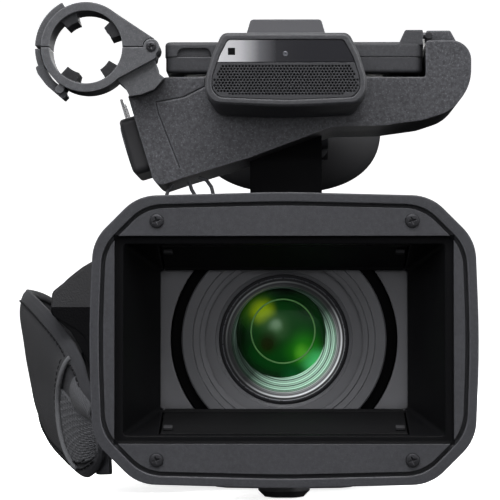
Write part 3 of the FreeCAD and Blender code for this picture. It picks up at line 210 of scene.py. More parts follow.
def fabric(name, base, pitch=0.0006, rough=0.9, bump=0.9, sheen=0.25, fleck=0.4, twill=False):
    """Woven nylon: over-and-under yarns in the Y-Z plane, with single lighter fibres."""
    m, t, b = material(name, rough, 0.0, 0.25)
    b.inputs["Sheen Weight"].default_value = sheen
    b.inputs["Sheen Roughness"].default_value = 0.4
    co = coords(t)
    sep = node(t, "SeparateXYZ", {0: co})
    wob = noise(t, co, 160.0, 2.0)
    k = 2 * math.pi / pitch
    y = math_(t, "ADD", math_(t, "MULTIPLY", math_(t, "SUBTRACT", sep.outputs[1], math_(t, "MULTIPLY", sep.outputs[0], 0.8)), k), math_(t, "MULTIPLY", wob, 2.0))
    z = math_(t, "ADD", math_(t, "MULTIPLY", sep.outputs[2], k), math_(t, "MULTIPLY", wob, 2.0))
    if twill:
        y = math_(t, "ADD", y, math_(t, "MULTIPLY", z, 0.5))
    sy, sz = math_(t, "SINE", y, 0), math_(t, "SINE", z, 0)
    w = math_(t, "MULTIPLY", sy, sz)
    h = math_(t, "ADD", math_(t, "MULTIPLY", w, 0.5), 0.5)
    fib = noise(t, co, 2600.0, 2.0, 0.7)
    slow = noise(t, co, 40.0, 3.0)
    col = mix(t, h, tuple(c * 0.62 for c in base), tuple(c * 1.25 for c in base))
    col = mix(t, math_(t, "MULTIPLY", ramp(t, fib, [(0.58, (0, 0, 0)), (0.72, (1, 1, 1))]), fleck), col, tuple(min(1, c * 2.3 + 0.015) for c in base))
    col = mix(t, math_(t, "MULTIPLY", slow, 0.35), col, tuple(c * 0.7 for c in base))
    t.links.new(col, b.inputs["Base Color"])
    hh = math_(t, "ADD", h, math_(t, "MULTIPLY", fib, 0.35))
    bp = node(t, "Bump", {"Height": hh, "Distance": 0.00015, "Strength": bump})
    t.links.new(bp.outputs[0], b.inputs["Normal"])
    return m


# ---------------------------------------------------------------- mesh helpers
def add_mesh(name, verts, faces, mat, body="main_body", slot=None, smooth=35.0, replaces=()):
    me = bpy.data.meshes.new(name)
    me.from_pydata([tuple(v) for v in verts], [], faces)
    me.validate()
    bm = bmesh.new()
    bm.from_mesh(me)
    bmesh.ops.remove_doubles(bm, verts=bm.verts, dist=1e-7)
    bmesh.ops.recalc_face_normals(bm, faces=bm.faces)
    bm.to_mesh(me)
    bm.free()
    ob = bpy.data.objects.new(name, me)
    bpy.context.scene.collection.objects.link(ob)
    me.materials.append(mat)
    if smooth:
        for p in me.polygons:
            p.use_smooth = True
        if smooth < 180:
            me.set_sharp_from_angle(angle=math.radians(smooth))
    if body:
        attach(ob, body)
    if replaces:
        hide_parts(*replaces)
    return ob


def subsurf(ob, levels=1):
    md = ob.modifiers.new("sub", "SUBSURF")
    md.levels = md.render_levels = levels
    return ob


def apply_mods(ob):
    dg = bpy.context.evaluated_depsgraph_get()
    me = bpy.data.meshes.new_from_object(ob.evaluated_get(dg))
    mats = list(ob.data.materials)
    ob.modifiers.clear()
    ob.data = me
    if not me.materials:
        for m in mats:
            me.materials.append(m)
    return ob


def lathe(profile, n=160, x=0.0, z=AZ, closed=True, rfun=None):
    """Verts and faces of a body of revolution about the Y direction from (r, y) points, in metres."""
    verts, faces = [], []
    m = len(profile)
    for i in range(n):
        a = 2 * math.pi * i / n
        for j, (r, y) in enumerate(profile):
            rr = rfun(r, y, a, j) if rfun else r
            verts.append((x + rr * math.cos(a), y, z + rr * math.sin(a)))
    for i in range(n):
        k = (i + 1) % n
        for j in range(m if closed else m - 1):
            l = (j + 1) % m
            faces.append((i * m + j, i * m + l, k * m + l, k * m + j))
    return verts, faces


def frames_along(pts, up=Vector((0, 0, 1)), closed=False):
    n = len(pts)
    out = []
    prev = None
    for i in range(n):
        if closed:
            d = pts[(i + 1) % n] - pts[i - 1]
        else:
            d = pts[min(n - 1, i + 1)] - pts[max(0, i - 1)]
        d.normalize()
        if prev is None:
            u = up - d * up.dot(d)
            if u.length < 1e-4:
                u = Vector((1, 0, 0)) - d * d.x
        else:
            u = prev - d * prev.dot(d)
        u.normalize()
        prev = u
        out.append((d, u, d.cross(u)))
    return out


def sweep(pts, section, closed=False, ups=None, caps=True):
    """Sweeps a closed 2-D section, (a along u, b along w), along pts; ups may give each point's u direction."""
    pts = [Vector(p) for p in pts]
    fr = frames_along(pts, closed=closed)
    verts, faces = [], []
    m = len(section)
    for i, p in enumerate(pts):
        d, u, w = fr[i]
        if ups is not None:
            u = Vector(ups[i])
            u = (u - d * u.dot(d)).normalized()
            w = d.cross(u)
        for a, b in section:
            verts.append(p + u * a + w * b)
    n = len(pts)
    for i in range(n if closed else n - 1):
        k = (i + 1) % n
        for j in range(m):
            l = (j + 1) % m
            faces.append((i * m + j, i * m + l, k * m + l, k * m + j))
    if caps and not closed:
        faces.append(tuple(range(m)))
        faces.append(tuple(reversed(range((n - 1) * m, n * m))))
    return verts, faces


def ellipse(a, b, n=12, power=1.0):
    out = []
    for i in range(n):
        t = 2 * math.pi * i / n
        c, s = math.cos(t), math.sin(t)
        out.append((a * math.copysign(abs(c) ** power, c), b * math.copysign(abs(s) ** power, s)))
    return out


def merge(parts):
    verts, faces = [], []
    for v, f in parts:
        o = len(verts)
        verts += [tuple(x) for x in v]
        faces += [tuple(i + o for i in q) for q in f]
    return verts, faces


def catmull(pts, n):
    """n points, evenly spaced in length, on a smooth curve through pts."""
    P = [Vector(p) for p in pts]
    P = [P[0] * 2 - P[1]] + P + [P[-1] * 2 - P[-2]]
    dense = []
    for i in range(1, len(P) - 2):
        for k in range(16):
            t = k / 16
            a, b, c, d = P[i - 1], P[i], P[i + 1], P[i + 2]
            dense.append(0.5 * ((2 * b) + (c - a) * t + (2 * a - 5 * b + 4 * c - d) * t * t + (3 * b - a - 3 * c + d) * t ** 3))
    dense.append(P[-2])
    ln = [0.0]
    for a, b in zip(dense, dense[1:]):
        ln.append(ln[-1] + (b - a).length)
    out = []
    j = 0
    for i in range(n):
        s = ln[-1] * i / (n - 1)
        while j < len(ln) - 2 and ln[j + 1] < s:
            j += 1
        f = (s - ln[j]) / max(1e-12, ln[j + 1] - ln[j])
        out.append(dense[j].lerp(dense[j + 1], f))
    return out


# ---------------------------------------------------------------- materials
def hood_inner_painted_shade(t, co):
    """Painted shade inside the hood: the inner walls, which face the lens axis, and the lip of the opening are painted
    near black.
    """
    geo = node(t, "NewGeometry")
    p = node(t, "VectorMath", {0: co, 1: (0.0, 0.0, -AZ)}, operation="ADD").outputs[0]
    p = node(t, "VectorMath", {0: p, 1: (1.0, 0.0, 1.0)}, operation="MULTIPLY").outputs[0]
    sx = node(t, "SeparateXYZ", {0: p})
    ax = math_(t, "ABSOLUTE", sx.outputs[0])
    az = math_(t, "ABSOLUTE", sx.outputs[2])
    p = node(t, "VectorMath", {0: p}, operation="NORMALIZE").outputs[0]
    d = node(t, "VectorMath", {0: p, 1: geo.outputs["Normal"]}, operation="DOT_PRODUCT").outputs["Value"]
    y = node(t, "SeparateXYZ", {0: co}).outputs[1]
    inside = math_(t, "MULTIPLY", math_(t, "LESS_THAN", d, -0.12), math_(t, "GREATER_THAN", y, -0.1762))
    lip = math_(t, "MULTIPLY", math_(t, "LESS_THAN", ax, 0.0634), math_(t, "LESS_THAN", az, 0.0390))
    lip = math_(t, "MULTIPLY", lip, math_(t, "LESS_THAN", y, -0.168))
    return math_(t, "MAXIMUM", inside, lip)


def clamp_pads(t, co):
    """The four pads inside the microphone ring are black rubber."""
    p = node(t, "VectorMath", {0: co, 1: (1.0, 0.0, 1.0)}, operation="MULTIPLY").outputs[0]
    d = node(t, "VectorMath", {0: p, 1: (-0.0792, 0.0, 0.1808)}, operation="DISTANCE").outputs["Value"]
    return math_(t, "MULTIPLY", math_(t, "LESS_THAN", d, 0.01452), 0.7)


def handle_post_painted_shade(t, co):
    """Painted shade: the front post of the handle, which stands in shade, is painted near black."""
    sp = node(t, "SeparateXYZ", {0: co})
    return math_(t, "MULTIPLY", math_(t, "LESS_THAN", sp.outputs[1], -0.040), math_(t, "GREATER_THAN", sp.outputs[1], -0.090))


def grip_front_painted_shade(t, co):
    """Painted shade: below the shoulder's edge the front of the grip, which is in shade, is painted near black."""
    sp = node(t, "SeparateXYZ", {0: co})
    return math_(t, "MULTIPLY", math_(t, "LESS_THAN", sp.outputs[2], 0.0772), math_(t, "LESS_THAN", sp.outputs[0], -0.052))


def window_plate(t, co):
    """The plate round the lens, at the back of the hood, is a lighter grey than the hood."""
    geo = node(t, "NewGeometry")
    fwd = math_(t, "LESS_THAN", node(t, "SeparateXYZ", {0: geo.outputs["Normal"]}).outputs[1], -0.6)
    y = node(t, "SeparateXYZ", {0: co}).outputs[1]
    return math_(t, "MULTIPLY", fwd, math_(t, "GREATER_THAN", y, -0.140))


M = {}
M["hood_plastic"] = plastic("hood_plastic", (0.030, 0.0305, 0.0345), 0.52, grain=0.00028, bump=0.10, speckle=0.14, edge=0.95, radius=0.001, black=hood_inner_painted_shade, light=window_plate, coarse=0.16)
M["hood_plate_plastic"] = plastic("hood_plate_plastic", (0.032, 0.0325, 0.0365), 0.5, grain=0.00026, bump=0.10, speckle=0.16, edge=0.6, radius=0.0003, black=None, coarse=0.16)
M["screw_steel"] = metal("screw_steel", (0.045, 0.045, 0.05), 0.38, 0.7, radius=0.00010, edge=0.8, bump=0.0)
M["flap_plastic"] = plastic("flap_plastic", (0.005, 0.005, 0.0055), 0.7, grain=0.0003, bump=0.08, edge=0.35, radius=0.0003, spec=0.10)
M["knob_plastic"] = plastic("knob_plastic", (0.022, 0.022, 0.024), 0.45, grain=0.0003, bump=0.06, edge=0.7, radius=0.0003)
M["lens_ring_metal"] = metal("lens_ring_metal", (0.082, 0.083, 0.090), 0.45, 0.15, radius=0.0002, edge=0.7, grain=0.00025, bump=0.05)
M["retainer_metal"] = metal("retainer_metal", (0.11, 0.105, 0.125), 0.30, 0.75, radius=0.00012, edge=0.5, bump=0.0)
M["inner_metal"] = metal("inner_metal", (0.012, 0.012, 0.013), 0.6, 0.1, radius=0.0002, edge=0.3)
M["ring_rubber"] = plastic("ring_rubber", (0.018, 0.018, 0.019), 0.66, grain=0.00022, bump=0.10, edge=0.5, radius=0.0003, mottle=0.2)
M["casing_plastic"] = plastic("casing_plastic", (0.026, 0.0265, 0.0295), 0.52, grain=0.0003, bump=0.14, speckle=0.18, edge=0.45, radius=0.0007, pebble=0.0005, coarse=0.16)
M["base_metal"] = metal("base_metal", (0.035, 0.035, 0.038), 0.5, 0.2, radius=0.0005, edge=0.6, grain=0.0003, bump=0.08)
M["circuit_board"] = plastic("circuit_board", (0.01, 0.09, 0.04), 0.35, grain=0.0006, bump=0.03, edge=0.2)
M["rocker_plastic"] = plastic("rocker_plastic", (0.034, 0.034, 0.037), 0.4, grain=0.00026, bump=0.06, edge=0.7, radius=0.0004)
M["record_red"] = plastic("record_red", (0.42, 0.012, 0.010), 0.33, grain=0.0003, bump=0.03, edge=0.25, radius=0.0004)
M["grip_plastic"] = plastic("grip_plastic", (0.026, 0.026, 0.028), 0.50, grain=0.0003, bump=0.16, edge=0.35, radius=0.0006, pebble=0.0007, black=grip_front_painted_shade)
M["bracket_plastic"] = plastic("bracket_plastic", (0.028, 0.028, 0.031), 0.45, grain=0.0003, bump=0.06, edge=0.6, radius=0.0004)
M["jack_plastic"] = plastic("jack_plastic", (0.022, 0.022, 0.024), 0.42, grain=0.0003, bump=0.05, edge=0.95, radius=0.0007)
M["tab_metal"] = metal("tab_metal", (0.70, 0.70, 0.72), 0.28, 0.55, radius=0.0001, edge=0.3)
M["speckled_plastic"] = plastic("speckled_plastic", (0.040, 0.0405, 0.045), 0.46, grain=0.00042, bump=0.5, speckle=0.50, pebble=0.0011, edge=0.95, radius=0.0011, coarse=0.42)
M["lid_plastic"] = plastic("lid_plastic", (0.034, 0.0345, 0.038), 0.46, grain=0.0003, bump=0.10, speckle=0.22, edge=0.95, radius=0.001, coarse=0.22)
M["bezel_plastic"] = plastic("bezel_plastic", (0.031, 0.0315, 0.035), 0.46, grain=0.0003, bump=0.10, speckle=0.2, edge=0.95, radius=0.0008, coarse=0.16)
M["hinge_metal"] = metal("hinge_metal", (0.07, 0.07, 0.075), 0.35, 0.8, radius=0.0002, edge=0.6)
M["mic_plastic"] = plastic("mic_plastic", (0.036, 0.0365, 0.040), 0.48, grain=0.0003, bump=0.10, speckle=0.25, edge=0.95, radius=0.001, coarse=0.2)
M["grille_metal"] = metal("grille_metal", (0.05, 0.0505, 0.055), 0.40, 0.4, radius=0.00012, edge=0.8)
M["shoe_metal"] = metal("shoe_metal", (0.085, 0.085, 0.092), 0.42, 0.3, radius=0.0006, edge=0.95)
M["clamp_plastic"] = plastic("clamp_plastic", (0.060, 0.061, 0.066), 0.5, grain=0.00035, bump=0.12, speckle=0.3, edge=0.95, radius=0.0009, black=clamp_pads, coarse=0.2)
M["handle_plastic"] = plastic("handle_plastic", (0.024, 0.0245, 0.0275), 0.5, grain=0.0003, bump=0.12, speckle=0.15, edge=0.4, radius=0.0007, black=handle_post_painted_shade)
M["ring_black"] = plastic("ring_black", (0.004, 0.004, 0.0045), 0.8, grain=0.0003, bump=0.05, edge=0.1, radius=0.0003, spec=0.08)
M["pad_rubber"] = plastic("pad_rubber", (0.018, 0.018, 0.020), 0.7, grain=0.0003, bump=0.10, edge=0.5, radius=0.0004)
M["eyecup_rubber"] = plastic("eyecup_rubber", (0.028, 0.028, 0.030), 0.62, grain=0.0005, bump=0.10, edge=0.2, radius=0.0006, mottle=0.2)
M["battery_plastic"] = plastic("battery_plastic", (0.022, 0.022, 0.024), 0.55, grain=0.0004, bump=0.14, edge=0.45, radius=0.0007, pebble=0.0006)
M["panel_plastic"] = plastic("panel_plastic", (0.030, 0.030, 0.033), 0.42, grain=0.00025, bump=0.07, edge=0.55, radius=0.0003)


def gloss_panel():
    """Smoked gloss strip above the grille, with a fine brushed grain and a painted reflection in its colour: bright at
    the left end, fading to dark on the right.
    """
    m, t, b = material("gloss_panel", 0.16, 0.35, 0.6)
    b.inputs["Coat Weight"].default_value = 0.7
    b.inputs["Coat Roughness"].default_value = 0.04
    co = coords(t)
    x = node(t, "SeparateXYZ", {0: co}).outputs[0]
    f = node(t, "MapRange", {"Value": x, "From Min": -0.029, "From Max": 0.010}, interpolation_type="SMOOTHSTEP").outputs[0]
    n = noise(t, co, 900.0, 2.0)
    # Painted reflection: the ramp lightens the left end and fades to dark on the right.
    col = ramp(t, math_(t, "ADD", f, math_(t, "MULTIPLY", math_(t, "SUBTRACT", n, 0.5), 0.03)),
               [(0.0, (0.58, 0.58, 0.60)), (0.22, (0.46, 0.46, 0.48)), (0.5, (0.12, 0.12, 0.13)), (0.75, (0.03, 0.03, 0.034)), (1.0, (0.022, 0.022, 0.026))])
    t.links.new(col, b.inputs["Base Color"])
    f_, nrm = edge_mask(t, 0.00015)
    t.links.new(node(t, "Bump", {"Height": n, "Distance": 0.00002, "Strength": 0.15, "Normal": nrm}).outputs[0], b.inputs["Normal"])
    return m


M["gloss_panel"] = gloss_panel()


def screen_mat():
    m, t, b = material("screen_panel", 0.12, 0.0, 0.6)
    co = coords(t)
    n = noise(t, co, 70.0, 3.0)
    t.links.new(mix(t, n, (0.004, 0.004, 0.006), (0.009, 0.009, 0.012)), b.inputs["Base Color"])
    t.links.new(node(t, "MapRange", {"Value": noise(t, co, 300.0), "To Min": 0.07, "To Max": 0.16}).outputs[0], b.inputs["Roughness"])
    b.inputs["Coat Weight"].default_value = 1.0
    b.inputs["Coat Roughness"].default_value = 0.05
    return m


M["screen_panel"] = screen_mat()


def coated(name, tint, strength=0.35, clear=(0.55, 0.62, 0.57), rough=0.02):
    """Coated lens surface: mostly see-through, with a tinted mirror that grows to the rim."""
    m = bpy.data.materials.new(name)
    m.use_nodes = True
    t = m.node_tree
    t.nodes.clear()
    out = t.nodes.new("ShaderNodeOutputMaterial")
    tr = node(t, "BsdfTransparent", {"Color": (*clear, 1)})
    gl = node(t, "BsdfAnisotropic", {"Color": (*tint, 1), "Roughness": rough})
    lw = node(t, "LayerWeight", {"Blend": 0.22})
    co = coords(t)
    n = noise(t, co, 40.0, 2.0)
    fac = math_(t, "ADD", math_(t, "MULTIPLY", lw.outputs["Fresnel"], 0.8), math_(t, "MULTIPLY", math_(t, "ADD", math_(t, "MULTIPLY", n, 0.2), 0.9), strength), True)
    mx = t.nodes.new("ShaderNodeMixShader")
    t.links.new(fac, mx.inputs[0])
    t.links.new(tr.outputs[0], mx.inputs[1])
    t.links.new(gl.outputs[0], mx.inputs[2])
    t.links.new(mx.outputs[0], out.inputs[0])
    return m


M["lens_glass"] = coated("lens_glass", (0.30, 0.75, 0.28), 0.16)
M["glass_yellow"] = coated("glass_yellow", (0.70, 0.95, 0.20), 0.30, (0.5, 0.62, 0.5))
M["glass_green"] = coated("glass_green", (0.10, 0.55, 0.22), 0.35, (0.45, 0.6, 0.5))
M["glass_silver"] = coated("glass_silver", (0.55, 0.70, 0.62), 0.25, (0.4, 0.5, 0.45))
M["strap_fabric"] = fabric("strap_fabric", (0.0235, 0.0238, 0.0265), pitch=0.00055, bump=0.6, sheen=0.03, fleck=0.35)
M["strap_lining"] = fabric("strap_lining", (0.022, 0.0224, 0.026), pitch=0.0005, bump=0.5, sheen=0.05, fleck=0.25)
M["strap_binding"] = fabric("strap_binding", (0.024, 0.0245, 0.028), pitch=0.0007, bump=0.8, sheen=0.05, fleck=0.3, twill=True)
M["strap_webbing"] = fabric("strap_webbing", (0.052, 0.053, 0.058), pitch=0.0013, bump=1.0, sheen=0.05, fleck=0.7)
M["strap_piping"] = fabric("strap_piping", (0.095, 0.097, 0.104), pitch=0.0006, bump=0.6, sheen=0.1, fleck=0.2)
# Stitch thread: dark, and made near black as painted shade of the stitches.
M["stitch_thread_painted_shade"] = fabric("stitch_thread_painted_shade", (0.006, 0.006, 0.007), pitch=0.0004, bump=0.5, sheen=0.0, fleck=0.2)

# every CAD node takes the material of its slot
SLOT_OF = {s["node"]: s["material_slot"] for s in frame["record"]["subparts"]}
for name, ob in NODES.items():
    ob.data.materials.clear()
    ob.data.materials.append(M.get(SLOT_OF[name], M["casing_plastic"]))
    for p in ob.data.polygons:
        p.material_index = 0

NODES["hood_mount_ring"].data.materials[0] = M["ring_black"]
NODES["handle_frame"].data.materials[0] = M["handle_plastic"]


# ---------------------------------------------------------------- lens glass and its cell
def painted_reflection_spots(t, co, base, items, warp=0.0):
    """Painted reflections and shade: soft round patches of colour at given (x, z, radius, colour) places, in metres
    about the lens axis.
    """
    p = node(t, "VectorMath", {0: co, 1: (1.0, 0.0, 1.0)}, operation="MULTIPLY").outputs[0]
    if warp:
        nz = node(t, "TexNoise", {"Vector": co, "Scale": 120.0, "Detail": 2.0}).outputs["Color"]
        off = node(t, "VectorMath", {0: nz, 1: (0.5, 0.5, 0.5)}, operation="SUBTRACT").outputs[0]
        off = node(t, "VectorMath", {0: off, "Scale": warp}, operation="SCALE").outputs[0]
        p = node(t, "VectorMath", {0: p, 1: off}, operation="ADD").outputs[0]
    col = base
    for x, z, r, c in items:
        d = node(t, "VectorMath", {0: p, 1: (x, 0.0, AZ + z)}, operation="DISTANCE").outputs["Value"]
        f = node(t, "MapRange", {"Value": d, "From Min": r, "From Max": 0.0}, interpolation_type="SMOOTHERSTEP").outputs[0]
        col = mix(t, f, col, c)
    return col


def deep_glass_painted_reflections():
    """Second group seen through the front glass, painted: deep green inside and near black at the rim, with soft
    patches of painted reflection and shade, and a faint painted glow.
    """
    m, t, b = material("deep_glass_painted_reflections", 0.10, 0.0, 0.5)
    co = coords(t)
    p = node(t, "VectorMath", {0: co, 1: (1.0, 0.0, 1.0)}, operation="MULTIPLY").outputs[0]
    d = node(t, "VectorMath", {0: p, 1: (-0.0012, 0.0, AZ + 0.0026)}, operation="DISTANCE").outputs["Value"]
    base = ramp(t, math_(t, "MULTIPLY", d, 50.0), [(0.0, (0.008, 0.060, 0.010)), (0.45, (0.006, 0.068, 0.009)), (0.70, (0.005, 0.058, 0.010)), (0.86, (0.004, 0.022, 0.006)), (1.0, (0.003, 0.005, 0.004))])
    col = painted_reflection_spots(t, co, base, [
        (0.001, 0.0235, 0.0150, (0.003, 0.004, 0.003)),
        (-0.0195, 0.001, 0.0120, (0.004, 0.010, 0.004)),
        (0.009, 0.0135, 0.010, (0.006, 0.026, 0.007)),
        (-0.0108, 0.0120, 0.0110, (0.05, 0.14, 0.006)),
        (-0.0084, 0.0108, 0.0072, (0.52, 0.60, 0.012)),
        (-0.0034, 0.0052, 0.0085, (0.06, 0.14, 0.05)),
        (-0.0032, 0.0054, 0.0040, (0.28, 0.38, 0.26)),
        (-0.0066, -0.0012, 0.0070, (0.016, 0.020, 0.004)),
        (0.0078, -0.0042, 0.0110, (0.025, 0.26, 0.010)),
        (0.0068, -0.0052, 0.0050, (0.13, 0.46, 0.030)),
        (0.0128, -0.0092, 0.0085, (0.10, 0.60, 0.20)),
        (0.0040, -0.0150, 0.0080, (0.006, 0.10, 0.024)),
    ], warp=0.0028)
    t.links.new(col, b.inputs["Base Color"])
    # Painted glow: the painted colour is also emitted, faintly.
    t.links.new(col, b.inputs["Emission Color"])
    b.inputs["Emission Strength"].default_value = 0.10
    n = noise(t, co, 60.0, 2.0)
    t.links.new(node(t, "MapRange", {"Value": n, "To Min": 0.06, "To Max": 0.14}).outputs[0], b.inputs["Roughness"])
    b.inputs["Coat Weight"].default_value = 0.25
    b.inputs["Coat Roughness"].default_value = 0.05
    return m


def ring_flare(name, lo, hi, pitch, glow, rough=0.28, rings=None):
    """Turned metal round the glass: fine concentric steps, with a painted reflection that leaves it dark at the upper
    left and bright at the lower right, and a painted glow from emission.
    """
    m, t, b = material(name, rough, 0.35)
    co = coords(t)
    p = node(t, "VectorMath", {0: co, 1: (0.0, 0.0, -AZ)}, operation="ADD").outputs[0]
    p = node(t, "VectorMath", {0: p, 1: (1.0, 0.0, 1.0)}, operation="MULTIPLY").outputs[0]
    r = node(t, "VectorMath", {0: p}, operation="LENGTH").outputs["Value"]
    d = node(t, "VectorMath", {0: node(t, "VectorMath", {0: p}, operation="NORMALIZE").outputs[0], 1: (0.66, 0.0, -0.75)}, operation="DOT_PRODUCT").outputs["Value"]
    # Painted reflection: by direction about the axis, dark at the upper left and bright at the lower right.
    sec = ramp(t, math_(t, "ADD", math_(t, "MULTIPLY", d, 0.5), 0.5), [(0.0, (0.14, 0.14, 0.17)), (0.25, (0.05, 0.05, 0.06)), (0.55, (0.08, 0.08, 0.08)), (0.80, (0.70, 0.74, 0.72)), (1.0, (1.0, 1.0, 1.0))])
    if rings:
        band = ramp(t, math_(t, "MULTIPLY", math_(t, "SUBTRACT", r, rings[0][0] * 0.001), 1000.0 / (rings[-1][0] - rings[0][0])),
                    [((q - rings[0][0]) / (rings[-1][0] - rings[0][0]), (w, w, w)) for q, w in rings])
    else:
        w = math_(t, "SINE", math_(t, "MULTIPLY", r, 2 * math.pi / pitch))
        w2 = math_(t, "SINE", math_(t, "MULTIPLY", r, 2 * math.pi / (pitch * 2.7)))
        band = math_(t, "ADD", math_(t, "MULTIPLY", math_(t, "ADD", w, 1.0), 0.30), math_(t, "MULTIPLY", math_(t, "ADD", w2, 1.0), 0.20), True)
    col = mix(t, math_(t, "MULTIPLY", band, sec), lo, hi)
    t.links.new(col, b.inputs["Base Color"])
    # Painted glow: the colour is also emitted.
    t.links.new(col, b.inputs["Emission Color"])
    b.inputs["Emission Strength"].default_value = glow
    return m


M["cell_flare"] = ring_flare("cell_flare", (0.003, 0.004, 0.004), (0.60, 0.80, 0.70), 0.00078, 0.95, 0.45)
M["retainer_flare"] = ring_flare("retainer_flare", (0.008, 0.008, 0.009), (0.70, 0.72, 0.74), 0.00090, 0.60, 0.4,
                                 [(20.6, 0.05), (20.85, 0.8), (21.05, 0.1), (21.4, 0.45), (21.6, 0.05), (22.1, 0.3), (22.35, 1.0), (22.65, 0.9), (22.85, 0.06),
                                  (23.6, 0.02), (23.72, 0.45), (23.9, 0.03), (24.5, 0.0), (25.3, 0.0)])
M["lens_glass"] = coated("front_glass", (0.16, 0.32, 0.18), 0.02, (0.90, 0.96, 0.92), 0.03)
M["deep_glass_painted_reflections"] = deep_glass_painted_reflections()
M["cell_metal"] = metal("cell_metal", (0.20, 0.205, 0.23), 0.30, 0.75, radius=0.0001, edge=0.5)
M["flare_ring"] = metal("flare_ring", (0.22, 0.40, 0.16), 0.45, 0.0, radius=0.0001, edge=0.3)


def mm(pts):
    return [tuple(c * 0.001 for c in p) for p in pts]


def lens_solid(name, rim, yf, sf, yb, sb, mat, slot, replaces=(), body="main_body"):
    """A finely divided glass element with true spherical faces, in millimetres."""
    def sag(r, s):
        if abs(s) < 1e-6:
            return 0.0
        R = (rim * rim + s * s) / (2 * abs(s))
        return math.copysign(R - math.sqrt(R * R - r * r), s)
    n = 40
    prof = [(max(0.001, rim * i / n), yf + sag(rim * i / n, sf)) for i in range(n + 1)]
    prof += [(max(0.001, rim * i / n), yb + sag(rim * i / n, sb)) for i in range(n, -1, -1)]
    return add_mesh(name, *lathe(mm(prof), 160), mat, body=body, slot=slot, smooth=40, replaces=replaces)


def eccentric(vf, dx, dz, full, none, squeeze):
    """Leans a cell's inner steps to one side: nothing at radius none, all of it at radius full, as seen through a strong front element."""
    out = []
    for x, y, z in vf[0]:
        r = math.hypot(x, z - AZ)
        f = min(1.0, max(0.0, (none - r) / (none - full)))
        k = (none - (none - r) * squeeze) / r
        out.append((x * k + dx * f, y, AZ + (z - AZ) * k + dz * f))
    return out, vf[1]


def lens_details():
    lens_solid("front_glass", 20.5, -127.6, 5.2, -121.6, 2.6, M["lens_glass"], "lens_glass", ("front_element",))
    lens_solid("second_glass", 20.5, -115.5, 3.4, -108.0, 0.0, M["deep_glass_painted_reflections"], "lens_glass", ("inner_elements",))
    lens_solid("third_glass", 18.9, -71.0, 2.0, -64.0, -1.5, M["deep_glass_painted_reflections"], "lens_glass")
    prof = mm([(20.55, -118.9), (20.1, -118.6), (20.0, -118.0), (19.55, -117.8), (19.45, -117.2), (18.95, -117.0), (18.85, -116.2),
               (18.3, -116.0), (18.2, -115.2), (17.4, -114.8), (17.0, -113.75), (17.6, -113.6), (20.55, -113.9)])
    add_mesh("lens_cell_steps", *eccentric(lathe(prof, 180), -0.0012, 0.0025, 0.0170, 0.02055, 0.8), M["cell_flare"], slot="inner_metal", smooth=30)
    prof = mm([(25.3, -127.0), (24.9, -127.5), (24.6, -127.6), (24.2, -127.05), (23.9, -126.75), (23.5, -126.7), (22.95, -127.0), (22.7, -126.9), (22.4, -126.1),
               (21.9, -125.6), (21.3, -125.25), (21.1, -124.9), (20.9, -123.8), (20.7, -122.4), (20.62, -120.7), (25.3, -120.7)])
    add_mesh("lens_retainer", *lathe(prof, 200), M["retainer_flare"], slot="retainer_metal", smooth=30, replaces=("lens_retainer_ring",))
    pr = []
    for i in range(8):
        a = 2 * math.pi * i / 8
        pr.append((0.0126 + 0.00030 * math.cos(a), -0.11462 + 0.00022 * math.sin(a)))
    ring, faces = lathe(pr, 160)
    dome = lambda r: 0.0635 - math.sqrt(0.0635 ** 2 - r * r)
    ring = [(x - 0.0004, y - dome(0.0126) + dome(math.hypot(x - 0.0004, z + 0.0032 - AZ)), z + 0.0032) for x, y, z in ring]
    add_mesh("lens_flare_ring", ring, faces, M["flare_ring"], slot="inner_metal", smooth=180)
    # bright fine edge of the front cell
    for name, r, y, w, mt in (("lens_cell_edge", 23.95, -127.15, 0.14, "cell_metal"),):
        pr = [(r * 0.001 + w * 0.001 * math.cos(a), y * 0.001 + w * 0.001 * math.sin(a)) for a in [2 * math.pi * i / 8 for i in range(8)]]
        add_mesh(name, *lathe(pr, 200), M[mt], slot="inner_metal", smooth=180)
    # filter thread: three fine turns inside the front ring
    parts = []
    for k in range(4):
        y = -132.4 + k * 0.75
        parts.append(lathe(mm([(30.62, y), (30.98, y + 0.3), (31.1, y + 0.62), (31.1, y + 0.1)]), 180))
    add_mesh("lens_thread_turns", *merge(parts), M["lens_ring_metal"], slot="lens_ring_metal", smooth=25)


lens_details()


